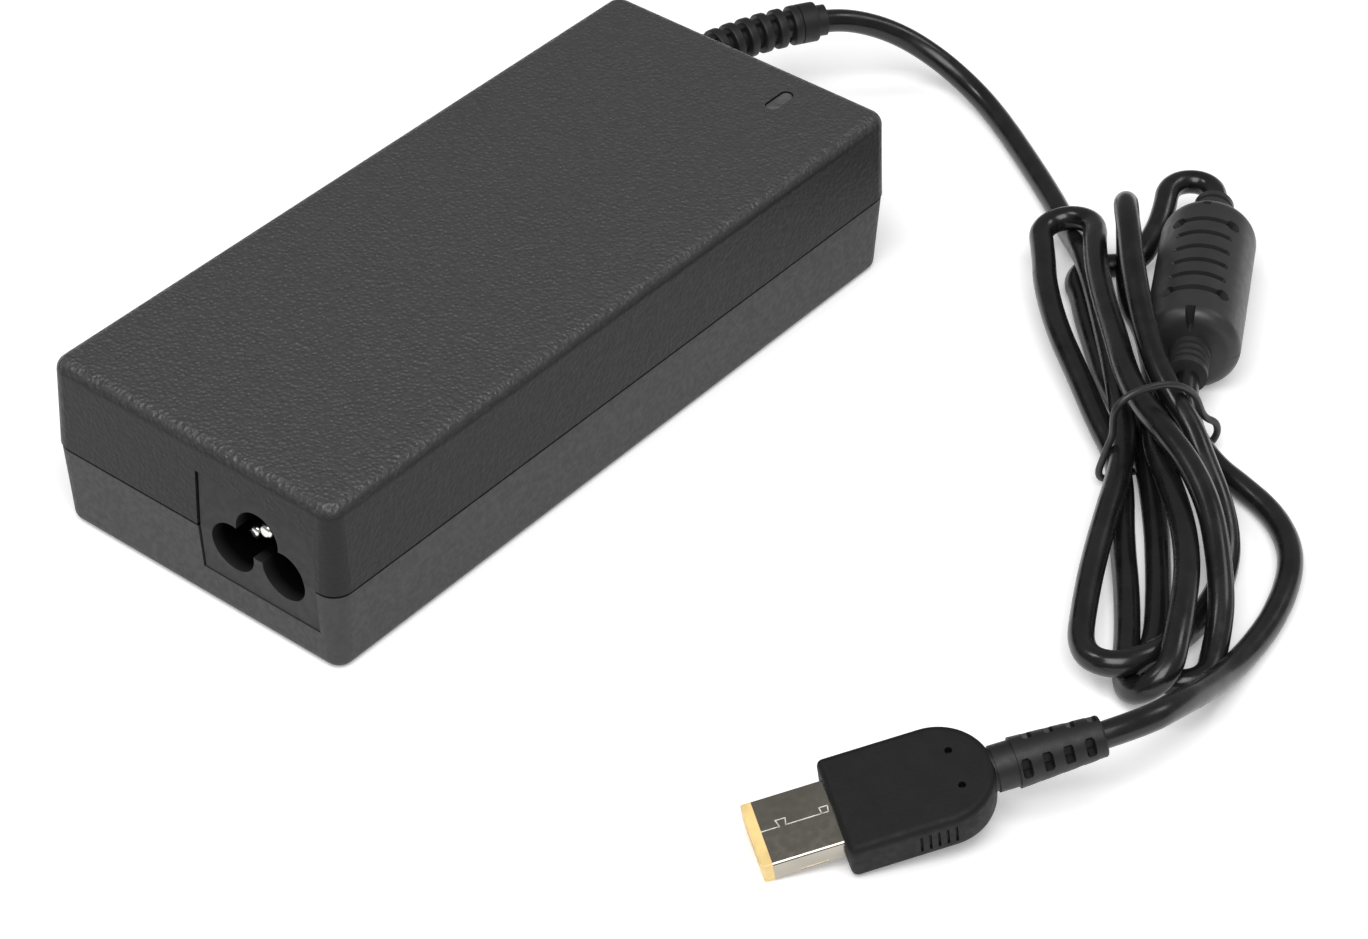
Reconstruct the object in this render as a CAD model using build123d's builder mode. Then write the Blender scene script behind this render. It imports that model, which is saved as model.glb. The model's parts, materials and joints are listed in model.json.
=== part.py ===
"""Laptop power adapter: a welded two-part case with a cloverleaf mains inlet, the converter
inside it, and a captive output cord with a ferrite choke, a tie and a rectangular plug.

Millimetres, +Z up.  The origin is the centre of the case's bottom face, +X runs along the case
from the mains inlet to the output cord, and the cord lies on the plane that the case stands on.
"""
import os
from math import atan, cos, degrees, pi, radians, sin, tan

from build123d import *

os.makedirs("parts", exist_ok=True)

# ---------------------------------------------------------------- driving dimensions
# Case
CASE_LENGTH = 120.0
CASE_WIDTH = 52.5
CASE_HEIGHT = 27.6
PARTING = 13.5            # height of the seam between the two covers
WALL = 2.2
CORNER_RADIUS = 3.0       # upright corners
TOP_FILLET = 2.0
BOTTOM_FILLET = 1.5
TOP_LEAN = 0.65           # how far each side leans in from the seam to the top
BOTTOM_LEAN = 0.75        # and from the seam to the bottom
SEAM_STEP = 0.08          # the top cover stands this much proud of the bottom cover
TONGUE_HEIGHT = 1.6
TONGUE_THICKNESS = 1.0
TONGUE_GAP = 0.05
LABEL_SIZE = (74.0, 34.0)
LABEL_THICKNESS = 0.1
LABEL_RECESS = 0.25

# Mains inlet, in the -X end, towards the -Y side
INLET_Y = -12.1
INLET_Z = 14.1
INLET_WIDTH = 20.8
INLET_HEIGHT = 16.3
INLET_DEPTH = 15.0        # from the case's end face to the back of the housing
INLET_SET_BACK = 0.12     # its face lies this far inside the case's end face
INLET_GAP = 0.1
INLET_WIDE_GAP = 0.4      # the gap on the +Y side
RECESS_DEPTH = 12.5
LOBE_RADIUS = 3.8
LINE_SPACING = 9.2        # between the line and neutral pins
LINE_Z = 12.5
EARTH_Z = 16.6
PIN_RADIUS = 1.15
EARTH_PIN_SET_BACK = 1.6
LINE_PIN_SET_BACK = 4.0

# Status light
LIGHT_X = 51.6
LIGHT_Y = -11.6
LIGHT_LENGTH = 5.4
LIGHT_WIDTH = 2.0
LIGHT_SINK = 0.15

# Board and the sheets around it
BOARD_THICKNESS = 1.6
BOARD_Z = 5.6             # underside
BOARD_TOP = BOARD_Z + BOARD_THICKNESS
LEG_END = 4.4             # the solder legs stop here, above the insulating sheet
LEG_RADIUS = 0.35
LEG_HOLE_RADIUS = 0.5
SPREADER_THICKNESS = 0.8
SHEET_THICKNESS = 0.4
POST_RADIUS = 2.0

# Output cord
CORD_DIAMETER = 3.6
CORD_Y = 19.0             # where it leaves the +X end
CORD_Z = 13.5
RELIEF_BEND_RADIUS = 53.0
RELIEF_TURN = 33.0        # degrees, towards -Y
RELIEF_START = 60.9       # the bend starts here, just outside the case
RELIEF_RADIUS = 3.1
RELIEF_CORE_RADIUS = 2.3
FLOOR_CLEARANCE = 0.02
CORD_REST_Z = CORD_DIAMETER / 2 + FLOOR_CLEARANCE

# Ferrite choke, lying beside the hank
CHOKE_NEAR = (63.8, -77.6)
CHOKE_FAR = (89.4, -64.3)
CHOKE_RADIUS = 7.1
CHOKE_SHOULDER = 2.6
CHOKE_NECK_RADIUS = 3.1
CHOKE_Z = CHOKE_RADIUS + FLOOR_CLEARANCE
CHOKE_NEAR_NECK = 7.0
CHOKE_FAR_NECK = 6.7
NECK_GROOVE = 0.8         # width and depth of the rings round the necks

# Plug
PLUG_FRONT = (-43.1, -94.5, 4.45)     # centre of the overmould's front face
PLUG_HEADING = -36.5                  # degrees in plan, from the tip towards the cord
PLUG_PITCH = 10.1                     # the cord end is raised
PLUG_ROLL = 11.2                      # the far edge is raised
PLUG_WIDTH = 14.8
PLUG_THICKNESS = 6.1
PLUG_LENGTH = 21.0
SHELL_WIDTH = 10.0
SHELL_THICKNESS = 3.5
SHELL_LENGTH = 9.3
SHELL_WALL = 0.35
TIP_LENGTH = 1.4

CLEAR = 0.1               # between pieces that are not joined


def save(builder, label):
    """Name a finished piece and write it."""
    builder.part.label = label
    export_step(builder.part, f"parts/{label}.step")


# ---------------------------------------------------------------- case
TOP_DRAFT = degrees(atan(TOP_LEAN / (CASE_HEIGHT - PARTING)))
BOTTOM_DRAFT = degrees(atan(BOTTOM_LEAN / PARTING))
INNER_LENGTH = CASE_LENGTH - 2 * WALL
INNER_WIDTH = CASE_WIDTH - 2 * WALL
INNER_RADIUS = CORNER_RADIUS - WALL
WINDOW_WIDTH = INLET_WIDTH + INLET_GAP + INLET_WIDE_GAP
WINDOW_Y = INLET_Y + (INLET_WIDE_GAP - INLET_GAP) / 2
WINDOW_HEIGHT = INLET_HEIGHT + 2 * INLET_GAP
POSTS = [(-50.0, 17.5), (-36.0, -18.5), (50.5, -18.5), (47.0, 17.5)]


def case_block(inset, upward):
    """The outside of one half of the case, with its draft, brought in by inset."""
    with BuildPart() as block:
        with BuildSketch(Plane.XY.offset(PARTING)):
            RectangleRounded(CASE_LENGTH - 2 * inset, CASE_WIDTH - 2 * inset, CORNER_RADIUS)
        if upward:
            extrude(amount=CASE_HEIGHT - PARTING, taper=TOP_DRAFT)
        else:
            extrude(amount=-PARTING, taper=BOTTOM_DRAFT)
    return block.part


def cord_hole():
    """Cut the round opening and the pocket that hold the output strain relief."""
    with Locations((CASE_LENGTH / 2, CORD_Y, CORD_Z)):
        Cylinder(RELIEF_CORE_RADIUS + CLEAR, 3 * WALL, rotation=(0, 90, 0), mode=Mode.SUBTRACT)


def inlet_window():
    """Cut the rectangular window of the mains inlet."""
    with Locations((-CASE_LENGTH / 2, WINDOW_Y, INLET_Z)):
        Box(3 * WALL, WINDOW_WIDTH, WINDOW_HEIGHT, mode=Mode.SUBTRACT)


with BuildPart() as top_cover:
    add(case_block(-SEAM_STEP, True))
    fillet(top_cover.edges().group_by(Axis.Z)[-1], TOP_FILLET)
    with BuildSketch(Plane.XY.offset(PARTING)):
        RectangleRounded(INNER_LENGTH, INNER_WIDTH, INNER_RADIUS)
    extrude(amount=CASE_HEIGHT - PARTING - WALL, taper=TOP_DRAFT, mode=Mode.SUBTRACT)
    with BuildSketch(Plane.XY.offset(PARTING)):
        RectangleRounded(INNER_LENGTH + 2 * TONGUE_THICKNESS, INNER_WIDTH + 2 * TONGUE_THICKNESS,
                         INNER_RADIUS + TONGUE_THICKNESS)
        RectangleRounded(INNER_LENGTH, INNER_WIDTH, INNER_RADIUS, mode=Mode.SUBTRACT)
    extrude(amount=-TONGUE_HEIGHT)
    with BuildSketch(Plane.XY.offset(CASE_HEIGHT - 2 * WALL)):
        with Locations((LIGHT_X, LIGHT_Y)):
            SlotOverall(LIGHT_LENGTH + CLEAR, LIGHT_WIDTH + CLEAR)
    extrude(amount=3 * WALL, mode=Mode.SUBTRACT)
    inlet_window()
    cord_hole()
save(top_cover, "top_cover")

with BuildPart() as bottom_cover:
    add(case_block(0.0, False))
    fillet(bottom_cover.edges().group_by(Axis.Z)[0], BOTTOM_FILLET)
    with BuildSketch(Plane.XY.offset(PARTING)):
        RectangleRounded(INNER_LENGTH, INNER_WIDTH, INNER_RADIUS)
    extrude(amount=-(PARTING - WALL), taper=BOTTOM_DRAFT, mode=Mode.SUBTRACT)
    with BuildSketch(Plane.XY.offset(PARTING)):
        RectangleRounded(INNER_LENGTH + 2 * (TONGUE_THICKNESS + TONGUE_GAP),
                         INNER_WIDTH + 2 * (TONGUE_THICKNESS + TONGUE_GAP),
                         INNER_RADIUS + TONGUE_THICKNESS)
    extrude(amount=-(TONGUE_HEIGHT + TONGUE_GAP), mode=Mode.SUBTRACT)
    with BuildSketch(Plane.XY.offset(WALL / 2)):
        with Locations(*POSTS):
            Circle(POST_RADIUS)
    extrude(amount=BOARD_Z - WALL / 2)
    with BuildSketch(Plane.XY):
        Rectangle(*LABEL_SIZE)
    extrude(amount=LABEL_RECESS, mode=Mode.SUBTRACT)
    inlet_window()
    cord_hole()
save(bottom_cover, "bottom_cover")

with BuildPart() as rating_label:
    with BuildSketch(Plane.XY.offset(LABEL_RECESS - LABEL_THICKNESS)):
        RectangleRounded(LABEL_SIZE[0] - 1.0, LABEL_SIZE[1] - 1.0, 1.0)
    extrude(amount=LABEL_THICKNESS)
save(rating_label, "rating_label")

# ---------------------------------------------------------------- mains inlet
INLET_FRONT = -CASE_LENGTH / 2
INLET_BACK = INLET_FRONT + INLET_DEPTH
PIN_PLACES = {
    "inlet_line_pin": (INLET_Y + LINE_SPACING / 2, LINE_Z, LINE_PIN_SET_BACK),
    "inlet_neutral_pin": (INLET_Y - LINE_SPACING / 2, LINE_Z, LINE_PIN_SET_BACK),
    "inlet_earth_pin": (INLET_Y, EARTH_Z, EARTH_PIN_SET_BACK),
}
PIN_TAIL = 4.0            # behind the housing
COLLAR_X = -CASE_LENGTH / 2 + WALL + 0.9
COLLAR_THICKNESS = 1.2

with BuildPart() as inlet_housing:
    with Locations(((INLET_FRONT + INLET_BACK) / 2, INLET_Y, INLET_Z)):
        Box(INLET_DEPTH, INLET_WIDTH, INLET_HEIGHT)
    add(case_block(INLET_SET_BACK, True) + case_block(INLET_SET_BACK, False), mode=Mode.INTERSECT)
    with Locations((COLLAR_X + COLLAR_THICKNESS / 2, INLET_Y, INLET_Z)):
        Box(COLLAR_THICKNESS, INLET_WIDTH + 1.2, INLET_HEIGHT + 2.4)
    with BuildSketch(Plane.YZ.offset(INLET_FRONT + RECESS_DEPTH)):
        with Locations((INLET_Y - LINE_SPACING / 2, LINE_Z), (INLET_Y + LINE_SPACING / 2, LINE_Z),
                       (INLET_Y, EARTH_Z)):
            Circle(LOBE_RADIUS)
    extrude(amount=-2 * RECESS_DEPTH, mode=Mode.SUBTRACT)
    for pin_y, pin_z, _ in PIN_PLACES.values():
        with Locations((INLET_BACK, pin_y, pin_z)):
            Cylinder(PIN_RADIUS, 2 * INLET_DEPTH, rotation=(0, 90, 0), mode=Mode.SUBTRACT)
save(inlet_housing, "inlet_housing")

for pin_name, (pin_y, pin_z, set_back) in PIN_PLACES.items():
    with BuildPart() as pin:
        tip_x = INLET_FRONT + set_back
        with BuildSketch(Plane.YZ.offset(tip_x)):
            with Locations((pin_y, pin_z)):
                Circle(PIN_RADIUS)
        extrude(amount=INLET_BACK + 0.5 - tip_x)
        fillet(pin.edges().sort_by(Axis.X)[0], 0.8)
        with Locations((INLET_BACK + 0.5 + PIN_TAIL / 2, pin_y, pin_z)):
            Box(PIN_TAIL, 2.0, 0.8)
    save(pin, pin_name)

# ---------------------------------------------------------------- components on the board
leg_points = []
SCREW_Z = BOARD_TOP + 12.6            # of the screws that clamp the power packages


def legs(points, top=BOARD_TOP + 0.2):
    """Add solder legs down through the board, and note where the board is drilled for them."""
    leg_points.extend(points)
    with Locations(*[(x, y, (LEG_END + top) / 2) for x, y in points]):
        Cylinder(LEG_RADIUS, top - LEG_END)


def disc_part(x, y, diameter, thickness, along_x, spacing=5.0):
    """An upright coated disc with two legs."""
    with BuildPart() as disc:
        centre_z = BOARD_TOP + 1.0 + diameter / 2
        with Locations((x, y, centre_z)):
            Cylinder(diameter / 2, thickness, rotation=(90, 0, 0) if along_x else (0, 90, 0))
        fillet(disc.edges(), thickness * 0.3)
        half = spacing / 2
        points = [(x - half, y), (x + half, y)] if along_x else [(x, y - half), (x, y + half)]
        legs(points, centre_z - diameter * 0.1)
    return disc.part


def can_capacitor(x, y, diameter, height, spacing=3.5):
    """An upright electrolytic can with a crimp ring, a vent cross and two legs."""
    with BuildPart() as can:
        with BuildSketch(Plane.XY.offset(BOARD_TOP + 0.2)):
            with Locations((x, y)):
                Circle(diameter / 2)
        extrude(amount=height)
        fillet(can.edges().sort_by(Axis.Z)[-1], 0.6)
        with BuildSketch(Plane.XY.offset(BOARD_TOP + 0.2 + height - 0.25)):
            with Locations((x, y)):
                Rectangle(diameter * 0.6, 0.3)
                Rectangle(0.3, diameter * 0.6)
        extrude(amount=1.0, mode=Mode.SUBTRACT)
        with BuildSketch(Plane.XY.offset(BOARD_TOP + 2.0)):
            with Locations((x, y)):
                Circle(diameter)
                Circle(diameter / 2 - 0.3, mode=Mode.SUBTRACT)
        extrude(amount=0.5, mode=Mode.SUBTRACT)
        legs([(x - spacing / 2, y), (x + spacing / 2, y)], BOARD_TOP + 0.4)
    return can.part


def power_package(x, y, face):
    """A three-legged power package standing against a heat sink; face is +1 or -1 along Y."""
    with BuildPart() as package:
        with Locations((x, y, BOARD_TOP + 6.0)):
            Box(10.0, 3.2, 7.0)
        with Locations((x, y + face * 1.3, BOARD_TOP + 11.0)):
            Box(10.0, 0.6, 9.0)
        with Locations((x, y, SCREW_Z)):
            Cylinder(1.75, 12.0, rotation=(90, 0, 0), mode=Mode.SUBTRACT)
        legs([(x - 2.54, y), (x, y), (x + 2.54, y)], BOARD_TOP + 2.7)
    return package.part


def toroid(x, y, inner, outer, height, base=BOARD_TOP + 0.8):
    """A flat ring core."""
    with BuildPart() as ring:
        with BuildSketch(Plane.XY.offset(base)):
            with Locations((x, y)):
                Circle(outer)
                Circle(inner, mode=Mode.SUBTRACT)
        extrude(amount=height)
        fillet(ring.edges(), 0.4)
    return ring.part


def toroid_winding(x, y, inner, outer, height, start, sweep_angle, base=BOARD_TOP + 0.8):
    """One winding on a ring core: a sector of wire wrapped right round the ring's section."""
    wire = 0.7
    with BuildPart() as winding:
        section = Plane(origin=(x, y, base + height / 2),
                        x_dir=(cos(radians(start)), sin(radians(start)), 0),
                        z_dir=(sin(radians(start)), -cos(radians(start)), 0))
        with BuildSketch(section):
            with Locations(((inner + outer) / 2, 0)):
                RectangleRounded(outer - inner + 2 * wire, height + 2 * wire, wire * 0.9)
                Rectangle(outer - inner + 0.02, height + 0.02, mode=Mode.SUBTRACT)
        revolve(axis=Axis((x, y, 0), (0, 0, 1)), revolution_arc=sweep_angle)
    return winding.part


with BuildPart() as fuse:
    with Locations((-46.0, 20.0, BOARD_TOP + 2.4)):
        Cylinder(1.5, 10.0, rotation=(0, 90, 0))
    with Locations((-50.2, 20.0, BOARD_TOP + 2.4), (-41.8, 20.0, BOARD_TOP + 2.4)):
        Cylinder(1.8, 1.8, rotation=(0, 90, 0))
    legs([(-49.8, 20.0), (-42.2, 20.0)], BOARD_TOP + 1.2)
save(fuse, "fuse")

with BuildPart() as inrush_thermistor:
    add(disc_part(-36.0, 18.5, 9.0, 3.6, True))
save(inrush_thermistor, "inrush_thermistor")

with BuildPart() as surge_varistor:
    add(disc_part(-51.5, 8.5, 9.0, 3.2, False))
save(surge_varistor, "surge_varistor")

with BuildPart() as x_capacitor:
    with Locations((-42.0, 13.7, BOARD_TOP + 0.2 + 5.5)):
        Box(13.0, 5.0, 11.0)
    fillet(x_capacitor.edges().filter_by(Axis.Z), 0.5)
    legs([(-47.0, 13.7), (-37.0, 13.7)])
save(x_capacitor, "x_capacitor")

with BuildPart() as y_capacitors:
    add(disc_part(-29.0, 17.8, 6.5, 2.6, False))
    add(disc_part(6.5, 18.8, 6.5, 2.6, True))
save(y_capacitors, "y_capacitors")

CHOKE_PLACE = (-40.0, 4.0)
TOROID_SIZE = (3.2, 6.2, 6.0)         # inner radius, outer radius, height
with BuildPart() as line_filter_core:
    add(toroid(*CHOKE_PLACE, *TOROID_SIZE))
save(line_filter_core, "line_filter_core")

with BuildPart() as line_filter_windings:
    add(toroid_winding(*CHOKE_PLACE, *TOROID_SIZE, 20.0, 140.0))
    add(toroid_winding(*CHOKE_PLACE, *TOROID_SIZE, 200.0, 140.0))
save(line_filter_windings, "line_filter_windings")

with BuildPart() as bridge_rectifier:
    with Locations((-22.5, 10.0, BOARD_TOP + 1.5 + 5.5)):
        Box(3.6, 15.0, 11.0)
    chamfer(bridge_rectifier.edges().filter_by(Axis.X).sort_by(Axis.Y)[-1], 1.5)
    legs([(-22.5, 10.0 + step) for step in (-5.7, -1.9, 1.9, 5.7)], BOARD_TOP + 1.7)
save(bridge_rectifier, "bridge_rectifier")

PFC_PLACE = (-12.0, 11.5)
PFC_SIZE = (3.0, 6.6, 7.0)
with BuildPart() as boost_inductor_core:
    add(toroid(*PFC_PLACE, *PFC_SIZE))
save(boost_inductor_core, "boost_inductor_core")

with BuildPart() as boost_inductor_winding:
    add(toroid_winding(*PFC_PLACE, *PFC_SIZE, 30.0, 300.0))
save(boost_inductor_winding, "boost_inductor_winding")

BULK_RADIUS = 8.0
with BuildPart() as bulk_capacitor:
    with BuildSketch(Plane.YZ.offset(-28.0)):
        with Locations((-11.5, BOARD_TOP + 0.2 + BULK_RADIUS)):
            Circle(BULK_RADIUS)
    extrude(amount=26.0)
    fillet(bulk_capacitor.edges().sort_by(Axis.X)[-1], 1.0)
    with Locations((-25.5, -11.5, BOARD_TOP + 0.2 + BULK_RADIUS)):
        Cylinder(BULK_RADIUS + 1, 0.8, rotation=(0, 90, 0), mode=Mode.SUBTRACT)
        Cylinder(BULK_RADIUS - 0.4, 0.8, rotation=(0, 90, 0))
    with Locations((-28.6, -11.5 - 3.75, BOARD_TOP + 4.6), (-28.6, -11.5 + 3.75, BOARD_TOP + 4.6)):
        Box(0.7, 0.7, 8.4)
    legs([(-28.6, -15.25), (-28.6, -7.75)], BOARD_TOP + 0.6)
save(bulk_capacitor, "bulk_capacitor")

with BuildPart() as primary_heat_sink:
    with Locations((11.0, 14.2, BOARD_TOP + 8.0)):
        Box(26.0, 1.6, 15.6)
    with Locations((11.0, 16.0, BOARD_TOP + 15.3)):
        Box(26.0, 3.6, 1.0)
    with Locations((4.0, 14.2, SCREW_Z), (18.0, 14.2, SCREW_Z)):
        Cylinder(1.25, 6.0, rotation=(90, 0, 0), mode=Mode.SUBTRACT)
    legs([(0.5, 14.2), (21.5, 14.2)], BOARD_TOP + 0.4)
save(primary_heat_sink, "primary_heat_sink")

with BuildPart() as power_transistors:
    add(power_package(4.0, 11.7, 1))
    add(power_package(18.0, 11.7, 1))
save(power_transistors, "power_transistors")

# Transformer: two E-shaped core halves round a bobbin with its windings and tape
TRANSFORMER_X = 12.5
TRANSFORMER_Y = -7.5
CORE_SIZE = (26.0, 22.0, 15.0)
CORE_LEG = 4.0
CORE_YOKE = 2.6
CENTRE_RADIUS = 4.0
BOBBIN_WALL = 0.9
PIN_ROW_Y = 12.6          # of the bobbin's two rows of pins, from its middle
WINDOW_GAP = 0.1
TRANSFORMER_Z = BOARD_TOP + 0.8 + CORE_SIZE[2] / 2
with BuildPart() as transformer_core:
    with Locations((TRANSFORMER_X, TRANSFORMER_Y, TRANSFORMER_Z)):
        Box(*CORE_SIZE)
        Box(CORE_SIZE[0] - 2 * CORE_LEG, CORE_SIZE[1] + 2, CORE_SIZE[2] - 2 * CORE_YOKE,
            mode=Mode.SUBTRACT)
        Cylinder(CENTRE_RADIUS, CORE_SIZE[2] - 2 * CORE_YOKE)
save(transformer_core, "transformer_core")

BOBBIN_HEIGHT = CORE_SIZE[2] - 2 * CORE_YOKE - 2 * WINDOW_GAP
BOBBIN_OUTER = CORE_SIZE[0] / 2 - CORE_LEG - WINDOW_GAP
BOBBIN_BASE = Plane.XY.offset(TRANSFORMER_Z - BOBBIN_HEIGHT / 2)
with BuildPart() as transformer_bobbin:
    with BuildSketch(BOBBIN_BASE):
        with Locations((TRANSFORMER_X, TRANSFORMER_Y)):
            Circle(CENTRE_RADIUS + BOBBIN_WALL)
    extrude(amount=BOBBIN_HEIGHT)
    for level in (0.0, BOBBIN_HEIGHT - BOBBIN_WALL):
        with BuildSketch(BOBBIN_BASE.offset(level)):
            with Locations((TRANSFORMER_X, TRANSFORMER_Y)):
                Circle(BOBBIN_OUTER)
        extrude(amount=BOBBIN_WALL)
    for side in (-1, 1):
        with Locations((TRANSFORMER_X, TRANSFORMER_Y + side * PIN_ROW_Y, BOARD_TOP + 2.6)):
            Box(15.0, 3.0, 3.4)
        with Locations((TRANSFORMER_X, TRANSFORMER_Y + side * 9.6, BOARD_TOP + 3.95)):
            Box(12.0, 5.0, 0.7)
    with Locations((TRANSFORMER_X, TRANSFORMER_Y, TRANSFORMER_Z)):
        Cylinder(CENTRE_RADIUS + WINDOW_GAP, BOBBIN_HEIGHT + 1, mode=Mode.SUBTRACT)
    legs([(TRANSFORMER_X + step, TRANSFORMER_Y + side * PIN_ROW_Y)
          for side in (-1, 1) for step in (-5.5, -1.8, 1.8, 5.5)], BOARD_TOP + 1.1)
save(transformer_bobbin, "transformer_bobbin")

WINDING_HEIGHT = BOBBIN_HEIGHT - 2 * BOBBIN_WALL - CLEAR
with BuildPart() as transformer_windings:
    with BuildSketch(Plane.XY.offset(TRANSFORMER_Z - WINDING_HEIGHT / 2)):
        with Locations((TRANSFORMER_X, TRANSFORMER_Y)):
            Circle(BOBBIN_OUTER - 0.7)
            Circle(CENTRE_RADIUS + BOBBIN_WALL + 0.05, mode=Mode.SUBTRACT)
    extrude(amount=WINDING_HEIGHT)
save(transformer_windings, "transformer_windings")

with BuildPart() as transformer_tape:
    with BuildSketch(Plane.XY.offset(TRANSFORMER_Z - WINDING_HEIGHT / 2)):
        with Locations((TRANSFORMER_X, TRANSFORMER_Y)):
            Circle(BOBBIN_OUTER - 0.35)
            Circle(BOBBIN_OUTER - 0.65, mode=Mode.SUBTRACT)
    extrude(amount=WINDING_HEIGHT)
save(transformer_tape, "transformer_tape")

with BuildPart() as secondary_heat_sink:
    with Locations((36.0, 3.2, BOARD_TOP + 8.0)):
        Box(18.0, 1.6, 15.6)
    with Locations((36.0, 1.4, BOARD_TOP + 15.3)):
        Box(18.0, 3.6, 1.0)
    with Locations((36.0, 3.2, SCREW_Z)):
        Cylinder(1.25, 6.0, rotation=(90, 0, 0), mode=Mode.SUBTRACT)
    legs([(29.0, 3.2), (43.0, 3.2)], BOARD_TOP + 0.4)
save(secondary_heat_sink, "secondary_heat_sink")

with BuildPart() as output_rectifier:
    add(power_package(36.0, 5.7, -1))
save(output_rectifier, "output_rectifier")

# Screws clamp the packages to the heat sinks: x, y of the tab's outer face, way of the shank
SCREW_PLACES = [(4.0, 12.65, 1), (18.0, 12.65, 1), (36.0, 4.75, -1)]
SCREW_HEAD = 1.5
with BuildPart() as heat_sink_screws:
    for screw_x, tab_y, way in SCREW_PLACES:
        with Locations((screw_x, tab_y - way * SCREW_HEAD / 2, SCREW_Z)):
            Cylinder(2.4, SCREW_HEAD, rotation=(90, 0, 0))
        with Locations((screw_x, tab_y + way * 1.9, SCREW_Z)):
            Cylinder(1.2, 4.0, rotation=(90, 0, 0))
        with BuildSketch(Plane(origin=(screw_x, tab_y - way * SCREW_HEAD, SCREW_Z),
                               z_dir=(0, way, 0))):
            Rectangle(3.4, 0.6)
            Rectangle(0.6, 3.4)
        extrude(amount=0.7, mode=Mode.SUBTRACT)
save(heat_sink_screws, "heat_sink_screws")

with BuildPart() as output_capacitors:
    for can_x, can_y in ((31.0, -8.5), (31.0, -17.2), (40.5, -8.5), (40.5, -17.2)):
        add(can_capacitor(can_x, can_y, 8.0, 14.0))
save(output_capacitors, "output_capacitors")

with BuildPart() as output_inductor:
    with BuildSketch(Plane.XZ.offset(-10.5)):
        with Locations((36.0, BOARD_TOP + 4.2)):
            Circle(3.6)
    extrude(amount=-9.0)
    with BuildSketch(Plane.XZ.offset(-12.0)):
        with Locations((36.0, BOARD_TOP + 4.2)):
            Circle(6.0)
            Circle(2.8, mode=Mode.SUBTRACT)
    extrude(amount=-6.0, mode=Mode.SUBTRACT)
    legs([(36.0, 11.2), (36.0, 18.8)], BOARD_TOP + 1.0)
save(output_inductor, "output_inductor")

with BuildPart() as output_inductor_winding:
    with BuildSketch(Plane.XZ.offset(-12.1)):
        with Locations((36.0, BOARD_TOP + 4.2)):
            Circle(3.7)
            Circle(2.85, mode=Mode.SUBTRACT)
    extrude(amount=-5.8)
save(output_inductor_winding, "output_inductor_winding")

with BuildPart() as optocoupler:
    with Locations((27.0, 10.0, BOARD_TOP + 0.3 + 1.75)):
        Box(4.6, 6.4, 3.5)
    chamfer(optocoupler.faces().sort_by(Axis.Z)[-1].edges(), 0.3)
    legs([(27.0 + way * 1.27, 10.0 + side * 2.4) for way in (-1, 1) for side in (-1, 1)],
         BOARD_TOP + 0.5)
save(optocoupler, "optocoupler")

with BuildPart() as controller_chip:
    with Locations((-4.0, 1.0, BOARD_TOP + 0.15 + 0.75)):
        Box(4.9, 3.9, 1.5)
    with Locations((-5.6, 1.9, BOARD_TOP + 0.15 + 1.5)):
        Cylinder(0.35, 0.2, mode=Mode.SUBTRACT)
    for side in (-1, 1):
        with Locations(*[(-4.0 + (pin_index - 1.5) * 1.27, 1.0 + side * 2.35, BOARD_TOP + 0.4)
                         for pin_index in range(4)]):
            Box(0.4, 1.1, 0.5)
save(controller_chip, "controller_chip")

# ---------------------------------------------------------------- status light
LED_TOP = 14.0
with BuildPart() as indicator_led:
    with BuildSketch(Plane.XY.offset(BOARD_TOP + 0.3)):
        with Locations((LIGHT_X, LIGHT_Y)):
            Circle(1.9)
    extrude(amount=1.0)
    with BuildSketch(Plane.XY.offset(BOARD_TOP + 0.3)):
        with Locations((LIGHT_X, LIGHT_Y)):
            Circle(1.5)
    extrude(amount=LED_TOP - BOARD_TOP - 0.3)
    fillet(indicator_led.edges().sort_by(Axis.Z)[-1], 1.3)
    legs([(LIGHT_X - 1.0, LIGHT_Y), (LIGHT_X + 1.0, LIGHT_Y)], BOARD_TOP + 0.5)
save(indicator_led, "indicator_led")

with BuildPart() as light_pipe:
    with BuildSketch(Plane.XY.offset(LED_TOP + 0.4)):
        with Locations((LIGHT_X, LIGHT_Y)):
            SlotOverall(LIGHT_LENGTH, LIGHT_WIDTH)
    extrude(amount=CASE_HEIGHT - LIGHT_SINK - LED_TOP - 0.4)
    fillet(light_pipe.edges().group_by(Axis.Z)[-1], 0.3)
    with BuildSketch(Plane.XY.offset(CASE_HEIGHT - WALL - 1.3)):
        with Locations((LIGHT_X, LIGHT_Y)):
            SlotOverall(LIGHT_LENGTH + 1.6, LIGHT_WIDTH + 1.6)
    extrude(amount=1.2)
save(light_pipe, "light_pipe")

# ---------------------------------------------------------------- board, sheets and wires
BOARD_BACK = -55.5
BOARD_FRONT = 55.0
BOARD_HALF_WIDTH = 21.6
NOTCH_FRONT = -40.2
NOTCH_TOP = 0.4
WIRE_RADIUS = 0.7
INLET_WIRE_HOLES = [(-37.6, -4.2), (-37.6, -14.3), (-37.6, -9.2)]
OUTPUT_WIRE_HOLES = [(46.5, 11.5), (46.5, 8.0)]

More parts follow.
